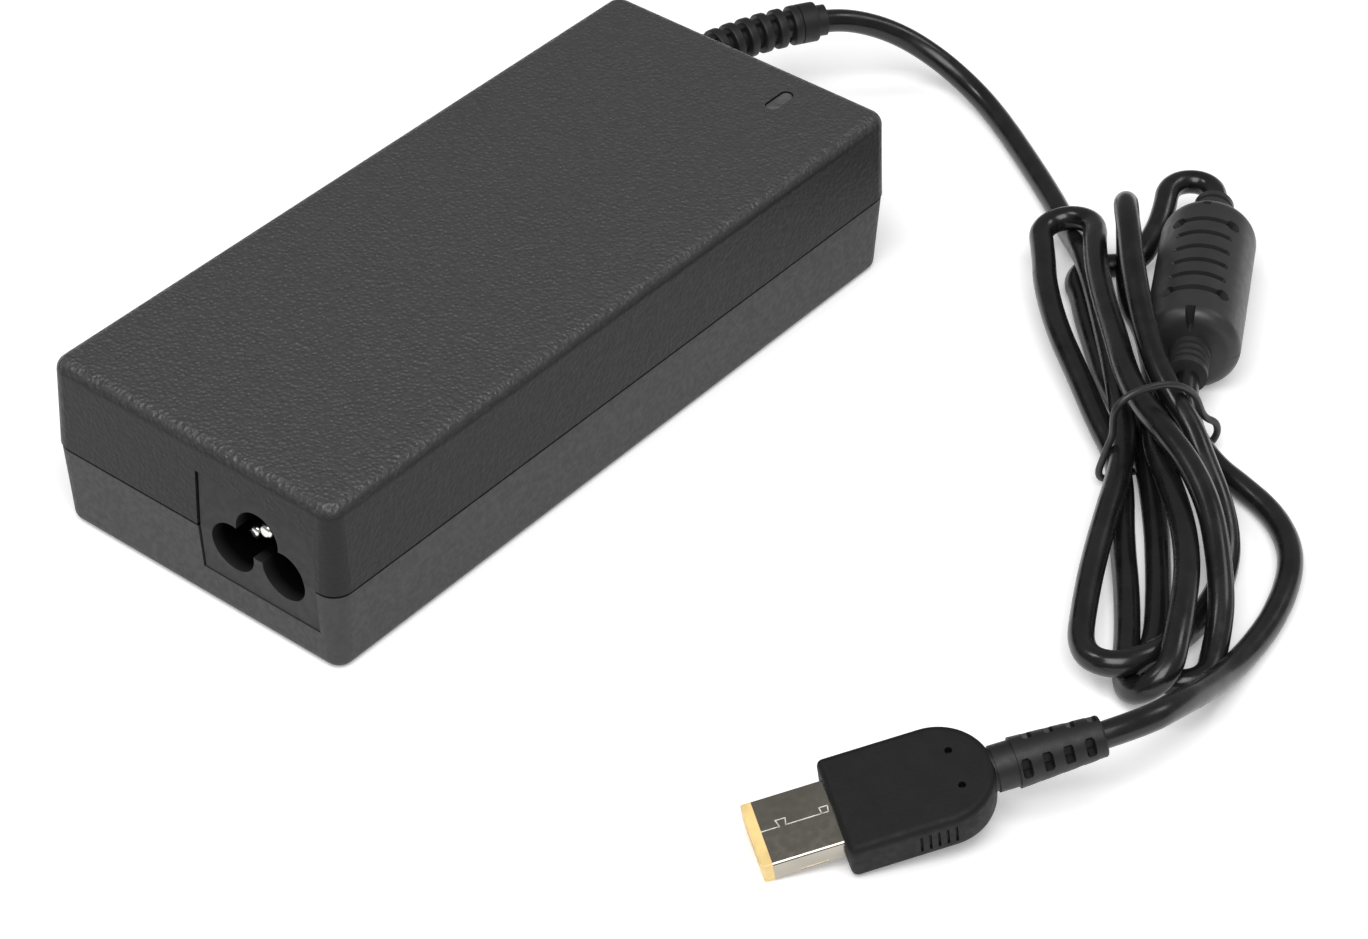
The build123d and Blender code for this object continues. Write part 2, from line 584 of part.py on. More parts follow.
with BuildPart() as circuit_board:
    with BuildSketch(Plane.XY.offset(BOARD_Z)):
        with Locations(((BOARD_BACK + BOARD_FRONT) / 2, 0)):
            Rectangle(BOARD_FRONT - BOARD_BACK, 2 * BOARD_HALF_WIDTH)
        with Locations((BOARD_BACK, -BOARD_HALF_WIDTH)):
            Rectangle(2 * (NOTCH_FRONT - BOARD_BACK), 2 * (BOARD_HALF_WIDTH + NOTCH_TOP),
                      mode=Mode.SUBTRACT)
        with Locations(*leg_points):
            Circle(LEG_HOLE_RADIUS, mode=Mode.SUBTRACT)
        with Locations(*INLET_WIRE_HOLES, *OUTPUT_WIRE_HOLES):
            Circle(WIRE_RADIUS + 0.15, mode=Mode.SUBTRACT)
    extrude(amount=BOARD_THICKNESS)
save(circuit_board, "circuit_board")


def channel(x_low, x_high, half_width, flat_z, edge_z, thickness):
    """A sheet bent up (or down) along both long sides."""
    way = 1 if edge_z > flat_z else -1
    with BuildPart() as sheet:
        with BuildSketch(Plane.YZ.offset(x_low)):
            with BuildLine():
                FilletPolyline((-half_width, edge_z), (-half_width, flat_z), (half_width, flat_z),
                               (half_width, edge_z), radius=1.2)
                offset(amount=thickness, side=Side.LEFT if way > 0 else Side.RIGHT)
            make_face()
        extrude(amount=x_high - x_low)
    return sheet.part


with BuildPart() as bottom_heat_spreader:
    add(channel(NOTCH_FRONT + 1.0, 54.0, 23.2, WALL + 0.1, 11.0, SPREADER_THICKNESS))
    with BuildSketch(Plane.XY):
        with Locations(*POSTS):
            Circle(POST_RADIUS + 0.4)
    extrude(amount=BOARD_Z, mode=Mode.SUBTRACT)
save(bottom_heat_spreader, "bottom_heat_spreader")

with BuildPart() as insulating_sheet:
    add(channel(NOTCH_FRONT + 1.0, 54.5, 22.35, WALL + 0.95, 11.6, SHEET_THICKNESS))
    with BuildSketch(Plane.XY):
        with Locations(*POSTS):
            Circle(POST_RADIUS + 0.4)
    extrude(amount=BOARD_Z, mode=Mode.SUBTRACT)
save(insulating_sheet, "insulating_sheet")

with BuildPart() as top_heat_spreader:
    add(channel(NOTCH_FRONT + 1.0, 44.0, 23.0, CASE_HEIGHT - WALL - 0.1, 17.0,
                SPREADER_THICKNESS))
save(top_heat_spreader, "top_heat_spreader")


def wire_radii(points, share=0.45):
    """The largest tangent arc at each corner of a route that its two runs allow."""
    radii = []
    for before, corner, after in zip(points, points[1:], points[2:]):
        into = Vector(*corner) - Vector(*before)
        out = Vector(*after) - Vector(*corner)
        half_turn = radians(into.get_angle(out)) / 2
        radii.append(share * min(into.length, out.length) / tan(half_turn))
    return radii


def tube(points, diameter):
    """A round wire or cord along straight runs joined by tangent arcs."""
    with BuildPart() as wire:
        with BuildLine() as path:
            FilletPolyline(*points, radius=wire_radii(points))
        with BuildSketch(Plane(origin=path.line @ 0, z_dir=path.line % 0)):
            Circle(diameter / 2)
        sweep()
    return wire.part, sum(edge.length for edge in path.edges())


with BuildPart() as inlet_wires:
    for (pin_y, pin_z, _), hole in zip(PIN_PLACES.values(), INLET_WIRE_HOLES):
        start_x = INLET_BACK + 0.5 + PIN_TAIL + 0.3
        route = [(start_x, pin_y, pin_z), (hole[0], (pin_y + hole[1]) / 2, pin_z),
                 (hole[0], hole[1], BOARD_TOP + 2.5), (hole[0], hole[1], LEG_END)]
        add(tube(route, 2 * WIRE_RADIUS)[0])
save(inlet_wires, "inlet_wires")

RELIEF_INNER_X = CASE_LENGTH / 2 - WALL - 2.6
with BuildPart() as output_wires:
    for side, hole in zip((1, -1), OUTPUT_WIRE_HOLES):
        route = [(RELIEF_INNER_X - 0.4, CORD_Y + side * 0.9, CORD_Z),
                 (hole[0] + 3.0, CORD_Y + side * 0.9 - 3.0, CORD_Z),
                 (hole[0], hole[1], CORD_Z - 1.5), (hole[0], hole[1], LEG_END)]
        add(tube(route, 2 * WIRE_RADIUS)[0])
save(output_wires, "output_wires")

# ---------------------------------------------------------------- output strain relief
# It leaves the end wall square and bends round a vertical axis towards -Y
RELIEF_AXIS = (RELIEF_START, CORD_Y - RELIEF_BEND_RADIUS)


def relief_point(angle, radius=RELIEF_BEND_RADIUS):
    """A point of the strain relief's bend, angle degrees past its start."""
    return (RELIEF_AXIS[0] + radius * sin(radians(angle)),
            RELIEF_AXIS[1] + radius * cos(radians(angle)), CORD_Z)


def relief_plane(angle):
    """The plane across the strain relief there, its Z along the cord."""
    return Plane(origin=relief_point(angle), x_dir=(0, 0, 1),
                 z_dir=(cos(radians(angle)), -sin(radians(angle)), 0))


def bend_slice(angle_from, angle_to, radius):
    """A slice of the bend, round in section."""
    with BuildPart() as piece:
        with BuildSketch(relief_plane(angle_from)):
            Circle(radius)
        revolve(axis=Axis((*RELIEF_AXIS, 0), (0, 0, -1)), revolution_arc=angle_to - angle_from)
    return piece.part


RIB_SHARE = 0.62
RIB_COUNT = 11
RIB_TURN = RELIEF_TURN / RIB_COUNT
with BuildPart() as output_strain_relief:
    with BuildSketch(Plane.YZ.offset(RELIEF_INNER_X)):
        with Locations((CORD_Y, CORD_Z)):
            RectangleRounded(9.0, 9.0, 1.0)
    extrude(amount=2.0)
    with BuildSketch(Plane.YZ.offset(RELIEF_INNER_X)):
        with Locations((CORD_Y, CORD_Z)):
            Circle(RELIEF_CORE_RADIUS)
    extrude(amount=RELIEF_START - RELIEF_INNER_X)
    with BuildSketch(Plane.YZ.offset(CASE_LENGTH / 2 + SEAM_STEP + 0.05)):
        with Locations((CORD_Y, CORD_Z)):
            Circle(RELIEF_RADIUS + 0.4)
    extrude(amount=RELIEF_START - CASE_LENGTH / 2 - SEAM_STEP - 0.05)
    add(bend_slice(0.0, RELIEF_TURN, RELIEF_CORE_RADIUS))
    for rib in range(RIB_COUNT):
        rib_end = (rib + 1) * RIB_TURN
        add(bend_slice(rib_end - RIB_TURN * RIB_SHARE, rib_end, RELIEF_RADIUS))
save(output_strain_relief, "output_strain_relief")

# ---------------------------------------------------------------- choke
CHOKE_LENGTH = ((CHOKE_FAR[0] - CHOKE_NEAR[0]) ** 2 + (CHOKE_FAR[1] - CHOKE_NEAR[1]) ** 2) ** 0.5
CHOKE_DIR = Vector(CHOKE_FAR[0] - CHOKE_NEAR[0], CHOKE_FAR[1] - CHOKE_NEAR[1], 0).normalized()
CHOKE_ANGLE = degrees(atan((CHOKE_FAR[1] - CHOKE_NEAR[1]) / (CHOKE_FAR[0] - CHOKE_NEAR[0])))
CHOKE_START = Vector(*CHOKE_NEAR, CHOKE_Z)
CHOKE_END = Vector(*CHOKE_FAR, CHOKE_Z)
FERRITE_RADIUS = 5.6
FERRITE_MARGIN = 2.4
FERRITE_BORE = CORD_DIAMETER / 2 + 0.3
NECK_GROOVES = (-4.6, -2.4, CHOKE_LENGTH + 1.6)       # distances from the near end


def along_choke(distance):
    """The plane across the choke, distance from its near end, its Z towards the far end."""
    return Plane(origin=CHOKE_START + CHOKE_DIR * distance, x_dir=(0, 0, 1), z_dir=CHOKE_DIR)


FAR_NECK_END = CHOKE_END + CHOKE_DIR * CHOKE_FAR_NECK

with BuildPart() as choke_overmold:
    with BuildSketch(along_choke(0)):
        Circle(CHOKE_RADIUS)
    extrude(amount=CHOKE_LENGTH)
    fillet(choke_overmold.edges().filter_by(GeomType.CIRCLE), CHOKE_SHOULDER)
    with BuildSketch(along_choke(-CHOKE_NEAR_NECK)):
        Circle(CHOKE_NECK_RADIUS)
    extrude(amount=CHOKE_NEAR_NECK + CHOKE_LENGTH + CHOKE_FAR_NECK)
    for groove in NECK_GROOVES:
        with BuildSketch(along_choke(groove)):
            Circle(CHOKE_NECK_RADIUS + 1)
            Circle(CHOKE_NECK_RADIUS - NECK_GROOVE, mode=Mode.SUBTRACT)
        extrude(amount=NECK_GROOVE, mode=Mode.SUBTRACT)
    with BuildSketch(along_choke(FERRITE_MARGIN)):
        Circle(FERRITE_RADIUS)
        Circle(FERRITE_BORE, mode=Mode.SUBTRACT)
    extrude(amount=CHOKE_LENGTH - 2 * FERRITE_MARGIN, mode=Mode.SUBTRACT)
save(choke_overmold, "choke_overmold")

with BuildPart() as choke_ferrite_core:
    with BuildSketch(along_choke(FERRITE_MARGIN + CLEAR)):
        Circle(FERRITE_RADIUS - CLEAR / 2)
        Circle(FERRITE_BORE + CLEAR / 2, mode=Mode.SUBTRACT)
    extrude(amount=CHOKE_LENGTH - 2 * FERRITE_MARGIN - 2 * CLEAR)
save(choke_ferrite_core, "choke_ferrite_core")

# ---------------------------------------------------------------- cord hank
# The folded cord in its outer shape: a lower lobe, a waist under the tie and an upper lobe
HANK_HEIGHT = 12.0
HANK_EDGE = 2.5
HANK_LOWER = [(39.4, -81.6), (32, -83.5), (22, -86.5), (12, -90), (5, -94.5), (1, -98), (-1.3, -104),
              (0, -113), (9, -116.2), (19, -113.8), (30, -108.5), (38, -103), (45, -95), (51.8, -87.6)]
HANK_UPPER = [(56.5, -81.3), (66, -72.5), (75.5, -65.5), (84.5, -59.5), (86.5, -54), (85.5, -47.5),
              (82, -43), (75, -42.4), (68, -46), (60, -54.5), (51, -65), (43, -75)]
with BuildPart() as hank_block:
    with BuildSketch(Plane.XY.offset(FLOOR_CLEARANCE)):
        with BuildLine():
            Polyline(*HANK_LOWER, *HANK_UPPER, close=True)
        make_face()
    extrude(amount=HANK_HEIGHT)
    chamfer(hank_block.edges().group_by(Axis.Z)[-1], HANK_EDGE)

with BuildPart() as choke_space:
    with BuildSketch(along_choke(-CHOKE_NEAR_NECK)):
        Circle(CHOKE_NECK_RADIUS)
    extrude(amount=CHOKE_NEAR_NECK + 1)
    with BuildSketch(along_choke(-CLEAR)):
        Circle(CHOKE_RADIUS + CLEAR)
    extrude(amount=CHOKE_LENGTH + 2 * CLEAR)

with BuildPart() as cord_hank:
    add(hank_block.part - choke_space.part)
save(cord_hank, "cord_hank")

# ---------------------------------------------------------------- free stretches of cord
RELIEF_END = Vector(*relief_point(RELIEF_TURN))
RELIEF_DIR = Vector(*relief_plane(RELIEF_TURN).z_dir)
OUTPUT_ROUTE = [tuple(RELIEF_END), tuple(RELIEF_END + RELIEF_DIR * 7.0), (100.6, 0.7, 11.6),
                (102.6, -6.3, 7.8), (101.6, -13.8, 4.0), (97.6, -22.4, CORD_REST_Z),
                (89.8, -32.8, CORD_REST_Z), (79.5, -45.1, CORD_REST_Z)]
CHOKE_ROUTE = [tuple(FAR_NECK_END), (97.7, -60, CHOKE_Z), (98.8, -57.7, CHOKE_Z),
               (98.4, -55.1, CHOKE_Z), (96.5, -53.3, CHOKE_Z), (94, -52.9, CHOKE_Z),
               (91.2, -54, 6.6), (88, -55.6, 5.5), (84.8, -57, 4.2)]
hank_solid = cord_hank.part


def free_cord(label, points):
    """A tube of cord that stops where it enters the hank."""
    whole, length = tube(points, CORD_DIAMETER)
    with BuildPart() as cord:
        add(whole - hank_solid)
    pieces = cord.part.solids().sort_by(SortBy.VOLUME)
    with BuildPart() as kept:
        add(pieces[-1])
    print(label, "radii", [round(radius, 1) for radius in wire_radii(points)],
          "volume / (section x length)",
          round(whole.volume / (pi * CORD_DIAMETER ** 2 / 4 * length), 4))
    save(kept, label)


free_cord("output_cord", OUTPUT_ROUTE)
free_cord("choke_lead", CHOKE_ROUTE)

# ---------------------------------------------------------------- tie
TIE_CENTRE = (45.6, -84.6)
TIE_HEADING = (0.905, -0.425, 0)      # across the bundle
TIE_HALF_WIDTH = 8.2
TIE_HEIGHT = 13.4
TIE_THICKNESS = 1.1
with BuildPart() as cable_tie:
    across = Plane(origin=(*TIE_CENTRE, TIE_HEIGHT / 2 + FLOOR_CLEARANCE), x_dir=TIE_HEADING,
                   z_dir=(-TIE_HEADING[1], TIE_HEADING[0], 0))
    with BuildSketch(across.offset(-TIE_THICKNESS / 2)):
        RectangleRounded(2 * TIE_HALF_WIDTH, TIE_HEIGHT, 5.0)
        RectangleRounded(2 * (TIE_HALF_WIDTH - TIE_THICKNESS), TIE_HEIGHT - 2 * TIE_THICKNESS, 3.9,
                         mode=Mode.SUBTRACT)
    extrude(amount=TIE_THICKNESS)
save(cable_tie, "cable_tie")

# ---------------------------------------------------------------- plug
plug_location = (Location(PLUG_FRONT)
                 * Location((0, 0, 0), (0, 0, PLUG_HEADING))
                 * Location((0, 0, 0), (0, -PLUG_PITCH, 0))
                 * Location((0, 0, 0), (PLUG_ROLL, 0, 0)))
PLUG = Plane(plug_location)           # local X towards the cord, Y across, Z out of the flat top
ACROSS = Plane(origin=PLUG.origin, x_dir=PLUG.y_dir, z_dir=PLUG.x_dir)     # Z towards the cord
NECK_RADIUS = 2.9
NECK_LENGTH = 4.0
RING_RADIUS = 3.3
SLEEVE_END = 35.4
SLEEVE_END_RADIUS = 2.7
LEAD_SOCKET = 1.0         # the cord runs this far into the sleeve
MARK_PLACES = [(16.1, 2.7), (16.1, -2.7)]             # the two pinholes in the flat top
MARK_RADIUS = 0.45
GRIP_LINES = (9.0, 10.1, 11.2, 12.3, 13.4)            # grooves in the near side, from the front
GRIP_LINE_WIDTH = 0.35
GRIP_LINE_DEPTH = 0.3
KEYWAY = (6.4, 1.2)       # the slot in the tip
SHELL_SEAT = 7.0          # the shell reaches this far into the overmould

with BuildPart() as plug_overmold:
    with BuildSketch(PLUG.offset(-PLUG_THICKNESS / 2)):
        with BuildLine():
            half = PLUG_WIDTH / 2
            straight = PLUG_LENGTH - half
            Polyline((straight, half), (0, half), (0, -half), (straight, -half))
            RadiusArc((straight, -half), (straight, half), -half)
        make_face()
    extrude(amount=PLUG_THICKNESS)
    fillet(plug_overmold.edges(), 0.9)
    with BuildSketch(ACROSS.offset(-1.0)):
        Rectangle(SHELL_WIDTH + 0.06, SHELL_THICKNESS + 0.06)
    extrude(amount=SHELL_SEAT + 2.0, mode=Mode.SUBTRACT)
    with BuildSketch(PLUG.offset(PLUG_THICKNESS / 2 - 0.6)):
        with Locations(*MARK_PLACES):
            Circle(MARK_RADIUS)
    extrude(amount=1.0, mode=Mode.SUBTRACT)
    with BuildSketch(PLUG.offset(-PLUG_THICKNESS / 2 + 1.2)):
        with Locations(*[(line, -PLUG_WIDTH / 2) for line in GRIP_LINES]):
            Rectangle(GRIP_LINE_WIDTH, 2 * GRIP_LINE_DEPTH)
    extrude(amount=PLUG_THICKNESS - 2.4, mode=Mode.SUBTRACT)
    with BuildSketch(ACROSS.offset(PLUG_LENGTH - 4.0)):
        Circle(NECK_RADIUS + 0.03)
    extrude(amount=6.0, mode=Mode.SUBTRACT)
save(plug_overmold, "plug_overmold")

with BuildPart() as plug_shell:
    with BuildSketch(ACROSS.offset(-SHELL_LENGTH)):
        RectangleRounded(SHELL_WIDTH, SHELL_THICKNESS, 0.45)
        RectangleRounded(SHELL_WIDTH - 2 * SHELL_WALL, SHELL_THICKNESS - 2 * SHELL_WALL, 0.2,
                         mode=Mode.SUBTRACT)
    extrude(amount=SHELL_LENGTH + SHELL_SEAT)
save(plug_shell, "plug_shell")

with BuildPart() as plug_tip:
    with BuildSketch(ACROSS.offset(-SHELL_LENGTH - TIP_LENGTH)):
        RectangleRounded(SHELL_WIDTH, SHELL_THICKNESS, 0.45)
        Rectangle(*KEYWAY, mode=Mode.SUBTRACT)
    extrude(amount=TIP_LENGTH - 0.02)
    fillet(plug_tip.edges().group_by(Axis(ACROSS.origin, ACROSS.z_dir))[0], 0.25)
save(plug_tip, "plug_tip")

with BuildPart() as plug_insulator:
    with BuildSketch(ACROSS.offset(-SHELL_LENGTH)):
        Rectangle(SHELL_WIDTH - 2 * SHELL_WALL - 0.06, SHELL_THICKNESS - 2 * SHELL_WALL - 0.06)
        Rectangle(*KEYWAY, mode=Mode.SUBTRACT)
    extrude(amount=SHELL_LENGTH + SHELL_SEAT - 0.5)
save(plug_insulator, "plug_insulator")

with BuildPart() as plug_contacts:
    for side in (-1, 1):
        with BuildSketch(ACROSS.offset(-SHELL_LENGTH + 0.6)):
            with Locations((0, side * 0.4)):
                Rectangle(5.6, 0.3)
        extrude(amount=SHELL_LENGTH + SHELL_SEAT - 0.2)
save(plug_contacts, "plug_contacts")

with BuildPart() as plug_strain_relief:
    with BuildSketch(ACROSS.offset(PLUG_LENGTH - 4.0)):
        Circle(NECK_RADIUS)
    extrude(amount=4.0 + NECK_LENGTH)
    with BuildSketch(ACROSS.offset(PLUG_LENGTH + NECK_LENGTH - 1.2)):
        Circle(RING_RADIUS)
    with BuildSketch(ACROSS.offset(SLEEVE_END)):
        Circle(SLEEVE_END_RADIUS)
    loft()
    with BuildSketch(ACROSS.offset(SLEEVE_END - LEAD_SOCKET)):
        Circle(CORD_DIAMETER / 2)
    extrude(amount=LEAD_SOCKET + 1, mode=Mode.SUBTRACT)
save(plug_strain_relief, "plug_strain_relief")

PLUG_DIR = ACROSS.z_dir
LEAD_START = Vector(*PLUG_FRONT) + PLUG_DIR * (SLEEVE_END - LEAD_SOCKET)
PLUG_ROUTE = [tuple(LEAD_START), tuple(LEAD_START + PLUG_DIR * 6.0), (-3.5, -120.2, 10.9),
              (5.0, -119.8, 7.8), (14.0, -118.4, 4.2), (23.0, -116.8, 2.3),
              (31.3, -114.4, CORD_REST_Z), (38.8, -110.4, CORD_REST_Z),
              (44.6, -103.8, CORD_REST_Z), (48.0, -95.5, CORD_REST_Z), (49.4, -87.0, CORD_REST_Z)]
free_cord("plug_lead", PLUG_ROUTE)
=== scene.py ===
"""Looks of the laptop power adapter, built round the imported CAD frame.

Metres, +Z up, the frame of the CAD model.  Lengths are written in millimetres and turned into
metres with MM.  The cord is one curve from the case to the plug; the pieces on it are the two
strain reliefs, the choke, the tie and the plug.
"""
import json
from math import cos, pi, radians, sin, sqrt

import bmesh
import bpy
from mathutils import Matrix, Vector


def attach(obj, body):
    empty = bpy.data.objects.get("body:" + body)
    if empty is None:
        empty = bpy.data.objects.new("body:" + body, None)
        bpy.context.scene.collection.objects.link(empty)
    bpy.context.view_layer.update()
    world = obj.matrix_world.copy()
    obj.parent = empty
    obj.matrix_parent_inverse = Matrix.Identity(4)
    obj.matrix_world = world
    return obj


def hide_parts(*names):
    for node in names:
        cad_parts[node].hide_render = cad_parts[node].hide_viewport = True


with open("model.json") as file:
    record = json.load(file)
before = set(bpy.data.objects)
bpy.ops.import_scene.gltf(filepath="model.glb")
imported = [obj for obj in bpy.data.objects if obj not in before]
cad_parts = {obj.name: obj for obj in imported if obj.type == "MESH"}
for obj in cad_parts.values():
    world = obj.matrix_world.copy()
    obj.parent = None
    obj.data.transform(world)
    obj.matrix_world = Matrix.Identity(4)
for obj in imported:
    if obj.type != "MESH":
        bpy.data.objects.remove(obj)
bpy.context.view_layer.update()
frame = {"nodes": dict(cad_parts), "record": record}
nodes = frame["nodes"]
scene = bpy.context.scene

MM = 0.001
CORD_DIAMETER = 3.6 * MM

# ---------------------------------------------------------------- camera
CAMERA_PLACE = Vector((-319.6, -289.8, 337.0)) * MM
CAMERA_AZIMUTH = -51.51
CAMERA_ELEVATION = 39.30
CAMERA_ROLL = 0.70
CAMERA_LENS = 99.67


def add_camera():
    """The camera, aimed by azimuth, elevation and roll."""
    az, el, roll = (radians(a) for a in (CAMERA_AZIMUTH, CAMERA_ELEVATION, CAMERA_ROLL))
    ahead = Vector((-sin(az) * cos(el), cos(az) * cos(el), -sin(el)))
    right = Vector((cos(az), sin(az), 0))
    up = right.cross(ahead)
    camera_x = right * cos(roll) + up * sin(roll)
    camera_y = up * cos(roll) - right * sin(roll)
    data = bpy.data.cameras.new("camera")
    data.lens = CAMERA_LENS
    data.sensor_width = 36.0
    data.clip_start = 0.01
    data.clip_end = 20.0
    camera = bpy.data.objects.new("camera", data)
    scene.collection.objects.link(camera)
    turn = Matrix((camera_x, camera_y, -ahead)).transposed().to_4x4()
    camera.matrix_world = Matrix.Translation(CAMERA_PLACE) @ turn
    scene.camera = camera


add_camera()

# ---------------------------------------------------------------- materials


class Finish:
    """A Principled material built up one node group of detail at a time."""

    def __init__(self, name, color, roughness, metallic=0.0, specular=0.5):
        self.material = bpy.data.materials.new(name)
        self.material.use_nodes = True
        self.tree = self.material.node_tree
        self.shader = self.tree.nodes["Principled BSDF"]
        self.shader.inputs["Base Color"].default_value = (*color, 1.0)
        self.shader.inputs["Roughness"].default_value = roughness
        self.shader.inputs["Metallic"].default_value = metallic
        self.shader.inputs["Specular IOR Level"].default_value = specular
        self.coordinates = self.tree.nodes.new("ShaderNodeTexCoord").outputs["Object"]
        self.normal = None

    def noise(self, size, detail=2.0, roughness=0.5, distortion=0.0):
        """Noise whose features are about size across, in metres."""
        node = self.tree.nodes.new("ShaderNodeTexNoise")
        node.inputs["Scale"].default_value = 1.0 / size
        node.inputs["Detail"].default_value = detail
        node.inputs["Roughness"].default_value = roughness
        node.inputs["Distortion"].default_value = distortion
        self.tree.links.new(self.coordinates, node.inputs["Vector"])
        return node.outputs["Fac"]

    def cells(self, size, smooth=0.6):
        """Rounded pebbles about size across: the smoothed distance of a Voronoi pattern."""
        node = self.tree.nodes.new("ShaderNodeTexVoronoi")
        node.feature = "SMOOTH_F1"
        node.inputs["Scale"].default_value = 1.0 / size
        node.inputs["Smoothness"].default_value = smooth
        self.tree.links.new(self.coordinates, node.inputs["Vector"])
        return node.outputs["Distance"]

    def ramp(self, source, low, high, start=0.0, end=1.0):
        """The source value from start to end turned into a value from low to high."""
        node = self.tree.nodes.new("ShaderNodeMapRange")
        node.inputs["From Min"].default_value = start
        node.inputs["From Max"].default_value = end
        node.inputs["To Min"].default_value = low
        node.inputs["To Max"].default_value = high
        self.tree.links.new(source, node.inputs["Value"])
        return node.outputs["Result"]

    def mottle(self, size, color_a, color_b, start=0.35, end=0.65):
        """The base colour wanders between two colours in patches about size across."""
        share = self.ramp(self.noise(size, 4.0), 0.0, 1.0, start, end)
        node = self.tree.nodes.new("ShaderNodeMix")
        node.data_type = "RGBA"
        node.inputs["A"].default_value = (*color_a, 1.0)
        node.inputs["B"].default_value = (*color_b, 1.0)
        self.tree.links.new(share, node.inputs["Factor"])
        self.tree.links.new(node.outputs["Result"], self.shader.inputs["Base Color"])

    def rough(self, size, low, high):
        """The roughness wanders between low and high in patches about size across."""
        value = self.ramp(self.noise(size, 3.0), low, high, 0.35, 0.65)
        self.tree.links.new(value, self.shader.inputs["Roughness"])

    def upright(self):
        """A share that is 1 where the surface stands upright and 0 where it faces up."""
        facing = self.tree.nodes.new("ShaderNodeNewGeometry")
        parts = self.tree.nodes.new("ShaderNodeSeparateXYZ")
        self.tree.links.new(facing.outputs["True Normal"], parts.inputs["Vector"])
        return self.ramp(parts.outputs["Z"], 1.0, 0.0, 0.25, 0.8)

    def beyond(self, axis, start, end):
        """A share that goes from 0 to 1 between two places along one of the object's axes."""
        parts = self.tree.nodes.new("ShaderNodeSeparateXYZ")
        self.tree.links.new(self.coordinates, parts.inputs["Vector"])
        return self.ramp(parts.outputs[axis], 0.0, 1.0, start, end)

    def recolor(self, share, color, specular):
        """Another colour and gloss, by that share."""
        base = self.shader.inputs["Base Color"]
        node = self.tree.nodes.new("ShaderNodeMix")
        node.data_type = "RGBA"
        self.tree.links.new(share, node.inputs["Factor"])
        self.tree.links.new(base.links[0].from_socket, node.inputs["A"])
        node.inputs["B"].default_value = (*color, 1.0)
        self.tree.links.new(node.outputs["Result"], base)
        level = self.ramp(share, self.shader.inputs["Specular IOR Level"].default_value, specular)
        self.tree.links.new(level, self.shader.inputs["Specular IOR Level"])

    def bump(self, height, depth, strength=None):
        """Adds relief of that depth, in metres, on top of any relief already there."""
        node = self.tree.nodes.new("ShaderNodeBump")
        node.inputs["Strength"].default_value = 1.0
        if strength is not None:
            self.tree.links.new(strength, node.inputs["Strength"])
        node.inputs["Distance"].default_value = depth
        self.tree.links.new(height, node.inputs["Height"])
        if self.normal is not None:
            self.tree.links.new(self.normal, node.inputs["Normal"])
        self.normal = node.outputs["Normal"]
        self.tree.links.new(self.normal, self.shader.inputs["Normal"])


def grey(value):
    """A neutral colour, a touch cool."""
    return (value, value, value * 1.02)


def plastic(name, color, roughness, grain=0.25 * MM, depth=0.01 * MM, specular=0.5):
    """Moulded plastic with a fine grain and slightly uneven colour and gloss."""
    darker = tuple(c * 0.82 for c in color)
    finish = Finish(name, color, roughness, specular=specular)
    finish.mottle(3.0 * MM, darker, color)
    finish.rough(1.2 * MM, roughness * 0.9, min(1.0, roughness * 1.1))
    finish.bump(finish.noise(grain, 3.0), depth)
    return finish


def metal(name, color, roughness, grain=0.5 * MM, depth=0.002 * MM):
    """Plated or machined metal with faint handling marks."""
    finish = Finish(name, color, roughness, metallic=1.0)
    finish.mottle(4.0 * MM, tuple(c * 0.9 for c in color), color)
    finish.rough(1.0 * MM, roughness * 0.8, roughness * 1.3)
    finish.bump(finish.noise(grain, 2.0), depth)
    return finish


def case_top():
    """Charcoal plastic with a coarse leather grain, its upright sides painted darker as shade."""
    finish = Finish("case_top", grey(0.045), 0.42)
    finish.mottle(0.8 * MM, grey(0.044), grey(0.052))
    finish.rough(0.8 * MM, 0.34, 0.46)
    upright = finish.upright()
    # Painted shade: the upright sides get a darker colour and less gloss than the top.
    finish.recolor(upright, grey(0.015), 0.2)
    finish.bump(finish.cells(0.65 * MM, 0.5), 0.32 * MM, finish.ramp(upright, 1.0, 0.12))
    finish.bump(finish.noise(0.3 * MM, 3.0), 0.06 * MM, finish.ramp(upright, 1.0, 0.35))
    return finish


def case_bottom():
    """Charcoal plastic with a fine satin grain, painted near black along its top rim as shade."""
    finish = Finish("case_bottom", grey(0.027), 0.55)
    finish.mottle(1.6 * MM, grey(0.025), grey(0.03))
    finish.rough(0.8 * MM, 0.5, 0.65)
    finish.bump(finish.noise(0.4 * MM, 3.0), 0.015 * MM)
    # Painted shade: from 13.0 mm up, the rim under the top shell's lip is near black and dull.
    finish.recolor(finish.beyond("Z", 13.0 * MM, 13.1 * MM), grey(0.003), 0.03)
    return finish


def inlet_plastic():
    """Smooth charcoal plastic, painted near black as shade in the depth of the recess."""
    finish = plastic("inlet_plastic", grey(0.017), 0.5, 0.3 * MM, 0.008 * MM, 0.3)
    # Painted shade: deeper into the recess, the plastic turns near black and dull.
    finish.recolor(finish.beyond("X", -59.7 * MM, -57.5 * MM), grey(0.002), 0.05)
    return finish


def cord_jacket():
    """Glossy black vinyl with a faint waviness."""
    finish = Finish("cord_jacket", grey(0.008), 0.25)
    finish.mottle(6.0 * MM, grey(0.006), grey(0.01))
    finish.rough(3.0 * MM, 0.2, 0.32)
    finish.bump(finish.noise(2.5 * MM, 1.0), 0.012 * MM)
    return finish


def plug_tip():
    """Warm yellow moulding that lets a little light through."""
    finish = plastic("tip_plastic", (0.93, 0.68, 0.28), 0.4, 0.2 * MM, 0.004 * MM)
    finish.shader.inputs["Subsurface Weight"].default_value = 0.2
    finish.shader.inputs["Subsurface Radius"].default_value = (0.001, 0.0006, 0.0003)
    return finish


def light_pipe():
    """Smoky translucent resin."""
    finish = Finish("light_pipe_resin", grey(0.12), 0.3)
    finish.mottle(1.5 * MM, grey(0.09), grey(0.17))
    finish.rough(0.6 * MM, 0.25, 0.4)
    finish.shader.inputs["Transmission Weight"].default_value = 0.35
    return finish


